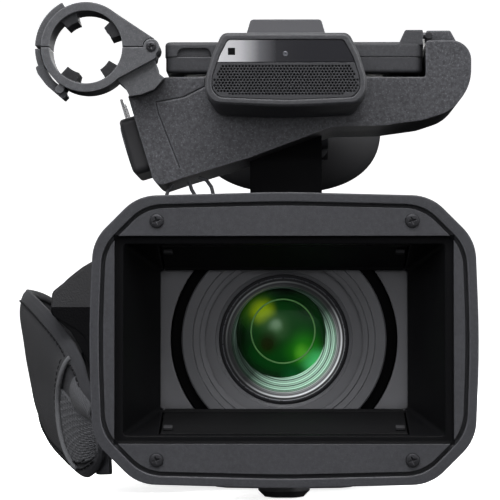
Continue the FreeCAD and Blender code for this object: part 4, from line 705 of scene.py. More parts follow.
# ---------------------------------------------------------------- ribbed rubber rings
def ribbed(name, src, slot, y0, y1, r, n_rib, depth, body, band=None):
    """Rubber sleeve with raised square ribs between two plain rims."""
    rim = 0.0016
    ys = [y0, y0 + 0.0003, y0 + 0.0012, y0 + rim, y0 + rim + 0.0004]
    ys += [y0 + rim + 0.0004 + (y1 - y0 - 2 * rim - 0.0008) * i / 6 for i in range(1, 6)]
    ys += [y1 - rim - 0.0004, y1 - rim, y1 - 0.0012, y1 - 0.0003, y1]
    steps = n_rib * 8
    verts, faces = [], []
    shape = [0.0, 0.0, 0.35, 1.0, 1.0, 1.0, 1.0, 0.35]
    for i in range(steps):
        a = 2 * math.pi * i / steps
        s = shape[i % 8]
        for j, y in enumerate(ys):
            if j in (0, len(ys) - 1):
                rr = r - 0.0008
            elif j in (1, len(ys) - 2):
                rr = r - 0.0002
            elif j in (2, 3, len(ys) - 3, len(ys) - 4):
                rr = r
            else:
                e = 1.0
                rr = r - depth * (1.0 - s * e)
            verts.append((rr * math.cos(a), y, AZ + rr * math.sin(a)))
    m = len(ys)
    for i in range(steps):
        k = (i + 1) % steps
        for j in range(m - 1):
            faces.append((i * m + j, i * m + j + 1, k * m + j + 1, k * m + j))
    # inner wall and end faces
    o = len(verts)
    for i in range(steps):
        a = 2 * math.pi * i / steps
        for y in (y0, y1):
            verts.append((0.03912 * math.cos(a), y, AZ + 0.03912 * math.sin(a)))
    for i in range(steps):
        k = (i + 1) % steps
        faces.append((o + 2 * i, o + 2 * k, o + 2 * k + 1, o + 2 * i + 1))
        faces.append((i * m, k * m, o + 2 * k, o + 2 * i))
        faces.append((i * m + m - 1, o + 2 * i + 1, o + 2 * k + 1, k * m + m - 1))
    return add_mesh(name, verts, faces, M["ring_rubber"], body=body, slot=slot, smooth=40, replaces=(src,))


# ---------------------------------------------------------------- hand strap
STRAP = [
    (-86.5, (-73.4, 38), (-72.0, 14)), (-79.0, (-79.0, 46), (-76.6, 10)), (-71.0, (-82.4, 55), (-80.4, 8.0)), (-56.0, (-89.0, 65), (-86.0, 10.0)),
    (-36.0, (-99.8, 76), (-93.4, 15)), (-8.0, (-109.0, 83), (-99.6, 21)), (24.0, (-113.2, 85), (-103.2, 30)),
    (54.0, (-107.8, 83), (-100.6, 40)), (78.0, (-96.5, 75), (-93.5, 50)), (90.0, (-86.0, 70), (-85.0, 55))]


def strap():
    N = 120
    T = catmull([(a[0], y, a[1]) for y, a, b in STRAP], N)
    B = catmull([(b[0], y, b[1]) for y, a, b in STRAP], N)
    NRM = []
    for i in range(N):
        d = (T[min(N - 1, i + 1)] + B[min(N - 1, i + 1)]) - (T[max(0, i - 1)] + B[max(0, i - 1)])
        NRM.append(Vector((-d.y, d.x, 0)).normalized())

    def at(u):
        f = min(max(u, 0.0), 1.0) * (N - 1)
        i = min(int(f), N - 2)
        f -= i
        return T[i].lerp(T[i + 1], f), B[i].lerp(B[i + 1], f), NRM[i].lerp(NRM[i + 1], f).normalized()

    def height(u):
        t, b, n = at(u)
        return (t - b).length

    def shrink(u):
        """Rounds both ends of the belt."""
        s = 1.0
        for e in (u / 0.045, (1.0 - u) / 0.04):
            if e < 1.0:
                s = min(s, 0.55 + 0.45 * math.sqrt(max(0.0, 1 - (1 - e) ** 2)))
        return s

    def P(u, v, off):
        """v from 0 at the upper edge to 1 at the lower one; off outwards from the inner face."""
        t, b, n = at(u)
        c = (t + b) / 2
        h = (t - b) / 2 * shrink(u)
        return (c + h * (1 - 2 * v) + n * off) * 0.001

    def skin(u, v):
        """Height of the pad's outer face: crowned, thin at the front end and at the edges."""
        e = abs(2 * v - 1)
        full = 1.6 + 3.0 * min(1.0, max(0.0, (u - 0.02) / 0.16))
        return 1.2 + full * (1 - e ** 5) * min(1.0, 0.5 + u * 12, 0.5 + (1 - u) * 12)

    # cushion: closed sections, crowned outside, softly hollow inside
    verts, faces = [], []
    NU, NV = 110, 26
    for i in range(NU):
        u = i / (NU - 1)
        ring = []
        for j in range(NV + 1):
            v = j / NV
            ring.append(P(u, v, skin(u, v)))
        for j in range(NV + 1):
            v = 1 - j / NV
            e = abs(2 * v - 1)
            ring.append(P(u, v, 0.15 + 0.75 * (e ** 6)))
        verts += ring
    m = 2 * (NV + 1)
    for i in range(NU - 1):
        for j in range(m):
            l = (j + 1) % m
            faces.append((i * m + j, i * m + l, (i + 1) * m + l, (i + 1) * m + j))
    faces.append(tuple(range(m)))
    faces.append(tuple(reversed(range((NU - 1) * m, NU * m))))
    pad = add_mesh("strap_cushion", verts, faces, M["strap_lining"], slot="strap_fabric", smooth=60, replaces=("hand_strap",))

    # front edge of the outer panel, as (v, y)
    EDGE = [(0.0, -64.0), (0.10, -62.6), (0.18, -61.6), (0.27, -60.0), (0.36, -58.2), (0.46, -57.0), (0.56, -57.2), (0.68, -59.2),
            (0.80, -62.6), (0.90, -67.0), (1.0, -72.0)]

    def y_of(u):
        t, b, n = at(u)
        return (t.y + b.y) / 2

    def u_at(y):
        a, b = 0.0, 1.0
        for _ in range(30):
            c = (a + b) / 2
            if y_of(c) < y:
                a = c
            else:
                b = c
        return (a + b) / 2

    def u_edge(v):
        for (a, ya), (b, yb) in zip(EDGE, EDGE[1:]):
            if v <= b:
                f = (v - a) / (b - a)
                f = f * f * (3 - 2 * f) if False else f
                return u_at(ya + (yb - ya) * f)
        return u_at(EDGE[-1][1])

    # outer panel: a second layer over the cushion, with a rolled front edge that stands off it
    NP, NQ = 90, 30
    V0, V1 = 0.035, 0.965
    top, bot = [], []
    for j in range(NQ + 1):
        v = V0 + (V1 - V0) * j / NQ
        ue = u_edge(v)
        for i in range(NP + 1):
            f = (i / NP) ** 1.5
            u = ue + (0.965 - ue) * f
            near = math.exp(-((u - ue) / 0.03) ** 2)
            e = abs(2 * v - 1)
            lift = (0.75 + 1.5 * near * (1 - e ** 6)) * (1 - max(0.0, e - 0.86) / 0.14 * 0.85)
            wav = 0.14 * math.sin(u * 31 + v * 5) + 0.10 * math.sin(v * 17 - u * 13)
            top.append(P(u, v, skin(u, v) + lift + wav * (1 - e ** 4)))
            bot.append(P(u, v, skin(u, v) - 0.25))
    o = len(top)
    verts = top + bot
    faces = []
    W = NP + 1
    for j in range(NQ):
        for i in range(NP):
            a, b, c, d = j * W + i, j * W + i + 1, (j + 1) * W + i + 1, (j + 1) * W + i
            faces += [(a, b, c, d), (o + d, o + c, o + b, o + a)]
    for i in range(NP):
        faces += [(i, o + i, o + i + 1, i + 1), (NQ * W + i, NQ * W + i + 1, o + NQ * W + i + 1, o + NQ * W + i)]
    for j in range(NQ):
        a, d = j * W, (j + 1) * W
        faces += [(a, d, o + d, o + a), (a + NP, o + a + NP, o + d + NP, d + NP)]
    panel = add_mesh("strap_panel", verts, faces, M["strap_fabric"], slot="strap_fabric", smooth=50)

    # light piping along the panel's front edge
    pts = []
    for k in range(70):
        v = 0.05 + 0.9 * k / 69
        e = abs(2 * v - 1)
        ue = u_edge(v)
        pts.append(P(ue - 0.001, v, skin(ue, v) + 0.6 + 1.45 * (1 - e ** 6)))
    sm = [pts[0]] + [(pts[k - 1] + pts[k] * 2 + pts[k + 1]) / 4 for k in range(1, 69)] + [pts[-1]]
    add_mesh("strap_piping", *sweep(sm, ellipse(0.00105, 0.00105, 10)), M["strap_piping"], slot="strap_fabric", smooth=180)

    # binding tape folded over the belt's edge, all round
    def tape_section(u, side):
        """Points of the folded tape across the edge: outer face, round the edge, inner face and back just under it."""
        h = height(u) * shrink(u)
        sgn = 1 if side == 0 else -1
        v = lambda d: (d / h) if side == 0 else 1 - d / h
        w = 5.2 if side == 0 else 3.6
        w = min(w, h * 0.4)
        lay = 0.9
        q = []
        for d in (w, w - 0.35, w * 0.62, w * 0.3, 0.9):
            q.append(P(u, v(d), skin(u, max(0.0, min(1.0, v(d)))) + (0.55 if d == w else lay)))
        q.append(P(u, v(0.0), 1.2 + lay * 0.6))
        t, b, n = at(u)
        out_dir = ((t - b).normalized() if side == 0 else (b - t).normalized())
        for du, of in ((0.75, 1.3), (0.85, 0.7), (0.5, 0.15)):
            q.append(P(u, v(0.0), of) + out_dir * du * 0.001)
        q.append(P(u, v(1.2), -0.25))
        q.append(P(u, v(3.0), -0.3))
        q.append(P(u, v(3.6), 0.3))
        q.append(P(u, v(2.0), 0.8))
        return q

    for side, nm in ((0, "upper"), (1, "lower")):
        verts, faces = [], []
        NU = 130
        for i in range(NU):
            u = 0.006 + 0.988 * i / (NU - 1)
            verts += tape_section(u, side)
        m = len(verts) // NU
        for i in range(NU - 1):
            for j in range(m):
                l = (j + 1) % m
                faces.append((i * m + j, i * m + l, (i + 1) * m + l, (i + 1) * m + j))
        faces.append(tuple(range(m)))
        faces.append(tuple(reversed(range((NU - 1) * m, NU * m))))
        add_mesh("strap_binding_" + nm, verts, faces, M["strap_binding"], slot="strap_fabric", smooth=70)

    # stitches: short threads sunk a little into the cloth
    def stitches(name, pts, nrm, length=1.9, gap=1.5, r=0.36, lift=0.30):
        parts = []
        acc = 0.0
        total = 0.0
        segs = []
        for a, b in zip(pts, pts[1:]):
            segs.append((total, total + (b - a).length * 1000, a, b))
            total += (b - a).length * 1000

        def where(s):
            for s0, s1, a, b in segs:
                if s <= s1:
                    return a.lerp(b, (s - s0) / max(1e-9, s1 - s0))
            return pts[-1]
        s = 0.3
        while s + length < total:
            p0, p1, p2 = where(s), where(s + length / 2), where(s + length)
            k = min(len(nrm) - 1, int((s / total) * (len(nrm) - 1)))
            n = nrm[k]
            line = [p0 - n * 0.0002, p0 + n * lift * 0.0007, p1 + n * lift * 0.001, p2 + n * lift * 0.0007, p2 - n * 0.0002]
            parts.append(sweep(line, ellipse(r * 0.001, r * 0.001, 6)))
            s += length + gap
        return add_mesh(name, *merge(parts), M["stitch_thread_painted_shade"], slot="strap_fabric", smooth=180)

    def row(side, dist, lift, u0=0.03, u1=0.97, n=160):
        pts, nr = [], []
        for i in range(n):
            u = u0 + (u1 - u0) * i / (n - 1)
            h = height(u) * shrink(u)
            v = dist / h if side == 0 else 1 - dist / h
            pts.append(P(u, v, skin(u, v) + lift))
            nr.append(at(u)[2])
        return pts, nr

    stitches("strap_stitches_upper", *row(0, 4.3, 0.98))
    stitches("strap_stitches_lower", *row(1, 2.7, 0.98))
    stitches("strap_stitches_lower_inner", *row(1, 5.4, 0.95, 0.06))
    pts, nr = [], []
    for k in range(90):
        v = 0.12 + 0.76 * k / 89
        u = u_edge(v) + 0.022
        pts.append(P(u, v, skin(u, v) + 0.75 + 1.5 * math.exp(-(0.022 / 0.03) ** 2) * (1 - abs(2 * v - 1) ** 6) + 0.1))
        nr.append(at(u)[2])
    stitches("strap_stitches_front", pts, nr, 1.6, 1.2, 0.16)

    # coarse woven belt lying on the cushion in front of the panel
    def webbing(name, pf, nu, nv, cu, cv, amp, thick, mat):
        """Basket weave: pf(a, b) gives (place, normal) for a, b from 0 to 1."""
        verts, faces = [], []
        for j in range(nv + 1):
            for i in range(nu + 1):
                a, b = i / nu, j / nv
                p, n = pf(a, b)
                ca, cb = a * cu, b * cv
                s = abs(math.sin(math.pi * ca)) ** 0.6 * abs(math.sin(math.pi * cb)) ** 0.6
                over = 1 if (int(ca) + int(cb)) % 2 == 0 else 0.45
                verts.append(p + n * (thick + amp * s * over) * 0.001)
        o = len(verts)
        for j in range(nv + 1):
            for i in range(nu + 1):
                p, n = pf(i / nu, j / nv)
                verts.append(p - n * 0.0001)
        W = nu + 1
        for j in range(nv):
            for i in range(nu):
                a, b, c, d = j * W + i, j * W + i + 1, (j + 1) * W + i + 1, (j + 1) * W + i
                faces += [(a, b, c, d), (o + d, o + c, o + b, o + a)]
        for i in range(nu):
            faces += [(i, o + i, o + i + 1, i + 1), (nv * W + i, nv * W + i + 1, o + nv * W + i + 1, o + nv * W + i)]
        for j in range(nv):
            a, d = j * W, (j + 1) * W
            faces += [(a, d, o + d, o + a), (a + nu, o + a + nu, o + d + nu, d + nu)]
        return add_mesh(name, verts, faces, mat, slot="strap_fabric", smooth=60)

    def on_front(a, b):
        v = 0.36 + 0.52 * b
        u0 = 0.01
        u1 = u_edge(v) + 0.02
        u = u0 + (u1 - u0) * a
        return P(u, v, skin(u, v) + 0.2), at(u)[2]

    webbing("strap_webbing", on_front, 84, 108, 14, 18, 0.55, 0.7, M["strap_webbing"])

    # loop tab sewn above the webbing
    def tab(a, b):
        v = 0.10 + 0.24 * b
        u = 0.02 + 0.085 * a
        return P(u, v, skin(u, v) + 0.9 + 1.1 * math.sin(math.pi * b)), at(u)[2]

    webbing("strap_tab", tab, 40, 30, 20, 12, 0.10, 0.8, M["strap_webbing"])

    # lower end of the belt, turned back round the front bracket
    pts = [(-77.0, -64.5, 14.6), (-76.6, -68.0, 14.4), (-76.2, -72.0, 14.2), (-75.4, -77.0, 14.2), (-73.4, -81.0, 14.4), (-70.6, -82.6, 14.6)]
    line = catmull([Vector(p) * 0.001 for p in pts], 40)
    sec = [(a * 5.6 * 0.001, b * 1.3 * 0.001) for a, b in ellipse(1, 1, 20, 0.45)]
    lower = add_mesh("strap_lower_end", *sweep(line, sec, ups=[(0, 0, 1)] * 40), M["strap_lining"], slot="strap_fabric", smooth=50)
    # rear keeper: a folded webbing loop over the rear bracket
    pts = [(-88.2, 84.0, 62.4), (-86.2, 88.0, 62.4), (-84.0, 91.4, 62.4), (-81.2, 92.6, 62.4), (-79.4, 90.2, 62.4), (-79.6, 85.0, 62.4)]
    line = catmull([Vector(p) * 0.001 for p in pts], 40)
    sec = [(a * 8.0 * 0.001, b * 0.9 * 0.001) for a, b in ellipse(1, 1, 20, 0.35)]
    add_mesh("strap_rear_loop", *sweep(line, sec, ups=[(0, 0, 1)] * 40), M["strap_webbing"], slot="strap_fabric", smooth=50)


strap()


# ---------------------------------------------------------------- rubber rings, eyecup, microphone grille
ribbed("focus_rubber", "focus_ring", "ring_rubber", -0.1166, -0.0870, 0.0440, 110, 0.00075, "focus")
ribbed("zoom_rubber", "zoom_ring", "ring_rubber", -0.0846, -0.0650, 0.0434, 84, 0.0009, "zoom")
ribbed("iris_rubber", "iris_ring", "ring_rubber", -0.0626, -0.0500, 0.0426, 96, 0.0006, "iris")


def grille():
    """Perforated metal: the plate is a copy of the CAD one with its holes cut through, over dark felt."""
    src = NODES["mic_grille"]
    me = src.data.copy()
    me.materials.clear()
    ob = bpy.data.objects.new("grille_plate", me)
    bpy.context.scene.collection.objects.link(ob)
    ob.matrix_world = src.matrix_world.copy()
    me.materials.append(M["grille_metal"])
    pitch, r = 1.30, 0.50
    verts, faces = [], []
    z0, rows = 170.9, 11
    for k in range(rows):
        z = z0 - k * 1.09
        half = 27.3 - max(0.0, z - 165.8) * 0.42
        if z < 161.4:
            half = 27.3 - (161.4 - z) * 3.6
        nx = 2 * int(half / pitch) + k % 2
        for i in range(nx + 1):
            x = 0.8 + (i - nx / 2) * pitch
            o = len(verts)
            n = 10
            for y in (-129.0, -125.0):
                for a in range(n):
                    t = 2 * math.pi * a / n
                    verts.append(((x + r * math.cos(t)) * 0.001, y * 0.001, (z + r * math.sin(t)) * 0.001))
            for a in range(n):
                b = (a + 1) % n
                faces.append((o + a, o + n + a, o + n + b, o + b))
            faces.append(tuple(o + a for a in range(n)))
            faces.append(tuple(o + n + a for a in reversed(range(n))))
    cm = bpy.data.meshes.new("cut")
    cm.from_pydata(verts, [], faces)
    bm = bmesh.new()
    bm.from_mesh(cm)
    bmesh.ops.recalc_face_normals(bm, faces=bm.faces)
    bm.to_mesh(cm)
    bm.free()
    cut = bpy.data.objects.new("cut", cm)
    bpy.context.scene.collection.objects.link(cut)
    md = ob.modifiers.new("holes", "BOOLEAN")
    md.operation = "DIFFERENCE"
    md.solver = "EXACT"
    md.object = cut
    apply_mods(ob)
    bpy.data.objects.remove(cut)
    bpy.data.meshes.remove(cm)
    ob.data.materials.clear()
    ob.data.materials.append(M["grille_metal"])
    for p in ob.data.polygons:
        p.material_index = 0
    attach(ob, "main_body")
    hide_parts("mic_grille")
    # felt behind the holes
    v, f = [], []
    for y in (-126.3, -125.7):
        v += mm([(-25.0, y, 158.6), (26.6, y, 158.6), (29.8, y, 161.4), (29.8, y, 166.0), (27.6, y, 171.9), (-26.0, y, 171.9), (-28.2, y, 166.0), (-28.2, y, 161.4)])
    f = [tuple(range(8)), tuple(reversed(range(8, 16)))] + [(i, i + 8, (i + 1) % 8 + 8, (i + 1) % 8) for i in range(8)]
    add_mesh("grille_felt", v, f, M["felt_black"], slot="grille_metal", smooth=0)


M["felt_black"] = fabric("felt_black", (0.004, 0.004, 0.0045), pitch=0.0005, bump=0.5, sheen=0.0, fleck=0.1)
grille()


def eyecup():
    """Soft rubber eyecup: a bell that flares and rolls over at its rim, with moulded rings."""
    cx, cz = 2.2, 170.3
    out_, in_ = [], []
    prof = [(164.6, 0.10), (166.2, 0.13), (168.0, 0.20), (170.0, 0.26), (172.5, 0.33), (176.0, 0.50), (180.0, 0.68), (184.0, 0.84), (187.5, 0.955), (189.4, 0.99), (190.2, 0.985)]
    n = 120

    def rad(a, k):
        c, s = math.cos(a), math.sin(a)
        ex = 47.2 if c < 0 else 47.2
        e = 1.0 / ((abs(c) / ex) ** 2.4 + (abs(s) / 33.0) ** 2.4) ** (1 / 2.4)
        return 15.0 + (e - 15.0) * k

    verts, faces = [], []
    loops = []
    for y, k in prof:
        rg = 0.35 if 0.12 < k < 0.3 and int(y) % 2 == 0 else 0.0
        loops.append([(cx + (rad(2 * math.pi * i / n, k) + rg) * math.cos(2 * math.pi * i / n), y, cz + (rad(2 * math.pi * i / n, k) + rg) * math.sin(2 * math.pi * i / n)) for i in range(n)])
    for y, k in reversed(prof):
        th = 1.5 if y < 188 else (1.0 if y < 190 else 0.7)
        loops.append([(cx + (rad(2 * math.pi * i / n, k) - th) * math.cos(2 * math.pi * i / n), y + (0.25 if y > 189 else 0.0), cz + (rad(2 * math.pi * i / n, k) - th) * math.sin(2 * math.pi * i / n)) for i in range(n)])
    for l in loops:
        verts += mm(l)
    m = len(loops)
    for j in range(m):
        l = (j + 1) % m
        for i in range(n):
            k = (i + 1) % n
            faces.append((j * n + i, j * n + k, l * n + k, l * n + i))
    ob = add_mesh("eyecup_bell", verts, faces, M["eyecup_rubber"], body="viewfinder", slot="eyecup_rubber", smooth=60, replaces=("eyecup",))
    return ob


eyecup()


# ---------------------------------------------------------------- small hardware and surface details
def rounded(name, c, size, r, mat, body="main_body", slot=None, seg=3, rot=None, replaces=()):
    """A block with rounded edges: centre and size in millimetres; rot is a matrix applied about the centre."""
    bm = bmesh.new()
    bmesh.ops.create_cube(bm, size=1.0)
    for v in bm.verts:
        v.co = Vector((v.co.x * size[0], v.co.y * size[1], v.co.z * size[2])) * 0.001
    bmesh.ops.bevel(bm, geom=list(bm.edges), offset=min(r, min(size) * 0.49) * 0.001, segments=seg, profile=0.5, affect="EDGES")
    R = rot or Matrix.Identity(3)
    verts = [R @ v.co + Vector(c) * 0.001 for v in bm.verts]
    bm.verts.index_update()
    faces = [tuple(v.index for v in f.verts) for f in bm.faces]
    bm.free()
    if name is None:
        return verts, faces
    return add_mesh(name, verts, faces, mat, body=body, slot=slot, smooth=50, replaces=replaces)


def spin(profile, c, axis, n=48, rfun=None):
    """Verts and faces of a lathe about a +X, -X, -Y, +Y or +Z direction: profile of (r, h), millimetres, closed at both ends on the axis."""
    A = Vector(axis)
    U = Vector((0, 0, 1)) if abs(A.z) < 0.9 else Vector((1, 0, 0))
    W = A.cross(U)
    C = Vector(c)
    verts, faces = [], []
    m = len(profile)
    for i in range(n):
        a = 2 * math.pi * i / n
        for j, (r, h) in enumerate(profile):
            rr = rfun(r, h, a) if rfun else r
            verts.append((C + A * h + (U * math.cos(a) + W * math.sin(a)) * rr) * 0.001)
    for i in range(n):
        k = (i + 1) % n
        for j in range(m - 1):
            faces.append((i * m + j, i * m + j + 1, k * m + j + 1, k * m + j))
    faces.append(tuple(i * m for i in range(n)))
    faces.append(tuple(i * m + m - 1 for i in reversed(range(n))))
    return verts, faces


def screw_head(c, axis, r=2.2, h=0.9, sink=0.35):
    """Pan head with a cross recess, as a height field over a disc."""
    A = Vector(axis)
    U = Vector((0, 0, 1)) if abs(A.z) < 0.9 else Vector((1, 0, 0))
    W = A.cross(U)
    C = Vector(c)
    nr, na = 16, 48
    verts, faces = [], []
    ca, sa = math.cos(0.35), math.sin(0.35)
    for j in range(nr + 1):
        q = r * j / nr
        for i in range(na):
            a = 2 * math.pi * i / na
            x, y = q * math.cos(a), q * math.sin(a)
            z = h - sink - 0.28 * (q / r) ** 4
            xx, yy = x * ca + y * sa, -x * sa + y * ca
            for p, o in ((xx, yy), (yy, xx)):
                w = 0.26 * r / 2.2 * (1.0 if abs(o) < 0.9 * r / 2.2 else 0.7)
                if abs(p) < w and abs(o) < 1.25 * r / 2.2:
                    z = min(z, h - sink - 0.75 * (1 - 0.5 * abs(o) / (1.25 * r / 2.2)))
            verts.append((C + A * z + U * x + W * y) * 0.001)
    for j in range(nr):
        for i in range(na):
            k = (i + 1) % na
            faces.append((j * na + i, j * na + k, (j + 1) * na + k, (j + 1) * na + i))
    o = len(verts)
    for i in range(na):
        a = 2 * math.pi * i / na
        verts.append((C - A * 0.6 + U * r * math.cos(a) + W * r * math.sin(a)) * 0.001)
    for i in range(na):
        k = (i + 1) % na
        faces.append((nr * na + i, nr * na + k, o + k, o + i))
    faces.append(tuple(o + i for i in reversed(range(na))))
    return verts, faces


def knurled(name, src, c, axis, r, h, teeth, mat, body, slot, depth=0.3, recess=0.0, mark=True):
    pr = [(r * 0.55, -0.2), (r * 0.98, -0.2), (r, 0.15), (r, h - 0.55), (r - 0.25, h - 0.15), (r - 0.6, h)]
    if recess:
        pr += [(r * 0.62, h), (r * 0.56, h - recess), (0.05, h - recess)]
    else:
        pr += [(r * 0.4, h + 0.08), (0.05, h + 0.1)]

    def rf(rr, hh, a):
        if rr > r * 0.97 and 0.1 < hh < h - 0.3:
            return rr - depth * (0.5 + 0.5 * math.cos(a * teeth)) ** 1.5
        return rr
    parts = [spin(pr, c, axis, teeth * 8, rf)]
    ob = add_mesh(name, *merge(parts), mat, body=body, slot=slot, smooth=45, replaces=(src,) if src else ())
    return ob


def details():
    # front plate screws
    parts = [screw_head((x, -179.6, z), (0, -1, 0), 2.45, 1.25, 0.35) for x, z in ((-47.3, 108.1), (47.6, 108.1), (-47.3, 19.4), (47.6, 19.4))]
    add_mesh("hood_screw_heads", *merge(parts), M["screw_steel"], slot="screw_steel", smooth=40, replaces=("hood_screws",))
    # body screws: both flanks, back, top cover, underside
    S = []
    for y, z in ((-28, 100), (-28, 14), (118, 102), (118, 14)):
        S.append(screw_head((50.0, y, z), (1, 0, 0), 1.7, 0.8, 0.25))
    for y, z in ((82, 100), (118, 102), (82, 16), (118, 16)):
        S.append(screw_head((-46.0, y, z), (-1, 0, 0), 1.7, 0.8, 0.25))
    for x, z in ((-40, 100), (44, 100), (-40, 12), (44, 12)):
        S.append(screw_head((x, 124.0, z), (0, 1, 0), 1.7, 0.8, 0.25))
    for x, y in ((-34, -20), (38, -20), (-34, 116), (38, 116), (-30, 46), (34, 46)):
        S.append(screw_head((x, y, 117.0), (0, 0, 1), 1.7, 0.8, 0.25))
    for x, y in ((-22, -8), (22, -8), (-22, 74), (22, 74), (0, -84)):
        S.append(screw_head((x, y, 0.15), (0, 0, -1), 2.0, 0.4, 0.35))
    add_mesh("body_screws", *merge(S), M["screw_steel"], slot="screw_steel", smooth=40)
    # vents: fine louvres on the rear of the left flank and on the top cover
    V = []
    for i in range(9):
        V.append(rounded(None, (50.05, 82 + i * 3.9, 103.2), (0.5, 1.7, 4.6), 0.24, None))
    for i in range(8):
        V.append(rounded(None, (-46.05, 84 + i * 3.9, 30.0), (0.5, 1.7, 16.0), 0.24, None))
    for i in range(12):
        V.append(rounded(None, (-34 + i * 2.6, 84, 117.02), (1.2, 22.0, 0.5), 0.24, None))
    for i in range(10):
        V.append(rounded(None, (-13 + i * 2.9, 100.0, 6.0), (1.3, 18.0, 0.5), 0.24, None))
    add_mesh("body_vents", *merge(V), M["felt_black"], slot="casing_plastic", smooth=50)
    # connector covers on the back, beside the battery, with finger lips
    C = []
    for z0, h in ((82.0, 18.0), (60.0, 20.0), (36.0, 22.0)):
        C.append(rounded(None, (-31.5, 124.3, z0), (20.0, 1.8, h), 0.8, None))
        C.append(rounded(None, (-40.0, 125.3, z0), (1.8, 1.4, h * 0.55), 0.6, None))
    for z0, h in ((72.0, 26.0), (38.0, 30.0)):
        C.append(rounded(None, (35.5, 124.3, z0), (19.0, 1.8, h), 0.8, None))
        C.append(rounded(None, (43.3, 125.3, z0), (1.8, 1.4, h * 0.5), 0.6, None))
    add_mesh("connector_covers", *merge(C), M["ring_rubber"], slot="ring_rubber", smooth=50)
    # jack ring and lamp under the covers
    parts = [spin([(0.9, -1), (0.9, 0.4), (2.9, 0.4), (3.1, 0.1), (3.1, -1)], (x, 124.2, 17.5), (0, 1, 0), 40) for x in (-34.0, -26.0)]
    add_mesh("audio_jacks", *merge(parts), M["tab_metal"], slot="tab_metal", smooth=40)
    add_mesh("rear_lamp", *spin([(2.2, -1), (2.2, 0.3), (1.7, 0.75), (0.05, 0.95)], (30.0, 124.0, 106.0), (0, 1, 0), 40), M["record_red"], slot="record_red", smooth=60)
    # battery: parting line rib, release key, terminals guard, charge lamps
    add_mesh("battery_band", *merge([rounded(None, (2.0, 145.0, 57.2), (39.2, 1.2, 71.2), 0.5, None)]), M["ring_black"], body="battery_pack", slot="battery_plastic", smooth=50)
    add_mesh("battery_plate", *merge([rounded(None, (2.0, 165.1, 50.0), (27.0, 0.7, 34.0), 0.3, None)]), M["panel_plastic"], body="battery_pack", slot="battery_plastic", smooth=50)
    add_mesh("battery_lamps", *merge([spin([(0.9, -0.4), (0.9, 0.3), (0.05, 0.45)], (-6 + 4 * i, 165.0, 74.0), (0, 1, 0), 24) for i in range(4)]), M["cell_metal"], body="battery_pack", slot="battery_plastic", smooth=60)
    B = rounded("battery_release", (2.0, 126.2, 99.5), (16.0, 4.4, 5.0), 1.2, M["knob_plastic"], slot="knob_plastic")
    # knurled knobs over their plain CAD cores
    knurled("audio_knob_front_cap", "audio_knob_front", (50.2, 50.0, 86.0), (1, 0, 0), 4.5, 3.2, 28, M["knob_plastic"], "knob_front", "knob_plastic", 0.28)
    knurled("audio_knob_rear_cap", "audio_knob_rear", (50.2, 65.0, 86.0), (1, 0, 0), 4.5, 3.2, 28, M["knob_plastic"], "knob_rear", "knob_plastic", 0.28)
    add_mesh("audio_knob_front_mark", *rounded(None, (53.45, 50.0, 88.3), (0.4, 0.6, 3.2), 0.15, None), M["mark_white"], body="knob_front", slot="knob_plastic", smooth=50)
    add_mesh("audio_knob_rear_mark", *rounded(None, (53.45, 65.0, 88.3), (0.4, 0.6, 3.2), 0.15, None), M["mark_white"], body="knob_rear", slot="knob_plastic", smooth=50)
    knurled("menu_dial_cap", "menu_dial", (50.2, 58.0, 56.0), (1, 0, 0), 9.1, 3.2, 44, M["knob_plastic"], "dial", "knob_plastic", 0.35, recess=1.0)
    knurled("hood_knob_cap", "hood_clamp_knob", (-59.0, -124.0, 64.0), (-1, 0, 0), 5.0, 5.0, 26, M["knob_plastic"], "clamp_knob", "knob_plastic", 0.4)
    # row of keys and switches on the control panel
    K = []
    for i in range(5):
        K.append(rounded(None, (50.9, -10 + i * 9.5, 24.4), (1.6, 5.6, 3.0), 0.6, None))
    for i in range(3):
        K.append(rounded(None, (50.9, 28.0, 66 + i * 8.0), (1.6, 6.4, 3.4), 0.6, None))
    for i in range(3):
        K.append(rounded(None, (50.9, 4 + i * 10.0, 50.0), (1.5, 4.6, 4.6), 0.9, None))
    add_mesh("panel_keys", *merge(K), M["rocker_plastic"], slot="rocker_plastic", smooth=50)
    W = []
    for i in range(3):
        W.append(rounded(None, (50.75, 4 + i * 10.0, 64.0), (0.5, 5.0, 12.0), 0.22, None))
        W.append(rounded(None, (51.3, 4 + i * 10.0, 64.0 + (i - 1) * 2.6), (1.8, 3.2, 3.2), 0.6, None))
    add_mesh("panel_switches", *merge(W), M["ring_black"], slot="panel_plastic", smooth=50)
    # small tick marks beside the switches and round the audio knobs
    T = []
    for i in range(3):
        for k in range(3):
            T.append(rounded(None, (50.63, 8.4 + i * 10.0, 60.6 + k * 3.4), (0.12, 1.2, 0.35), 0.05, None, seg=1))
    for y in (50.0, 65.0):
        for k in range(11):
            a = math.radians(-140 + 28 * k)
            T.append(rounded(None, (50.63, y + 6.4 * math.sin(a), 86.0 + 6.4 * math.cos(a)), (0.12, 0.5, 0.5), 0.05, None, seg=1))
    add_mesh("panel_marks", *merge(T), M["mark_white"], slot="panel_plastic", smooth=30)
    # rubber inlay with cross ribs under the handle bar and on its sides
    R = []
    for i in range(22):
        R.append(rounded(None, (0.7, 26 + i * 2.6 - 30, 145.7), (20.0, 1.2, 1.4), 0.5, None))
    add_mesh("handle_ribs", *merge(R), M["ring_rubber"], slot="ring_rubber", smooth=50)
    R = []
    for s in (-14.2, 15.6):
        R.append(rounded(None, (s, 30.0, 160.5), (0.7, 104.0, 15.0), 0.3, None))
    add_mesh("handle_side_inlays", *merge(R), M["grip_plastic"], slot="grip_plastic", smooth=50)
    # seat of the recording key: bright ring
    pr = [(4.85, -0.3), (4.85, 0.25), (5.6, 0.3), (5.8, 0.05), (5.8, -0.3)]
    add_mesh("handle_key_ring", *spin(pr, (0.7, 20.0, 176.0), (0, 0, 1), 60), M["cell_metal"], slot="rocker_plastic", smooth=40)
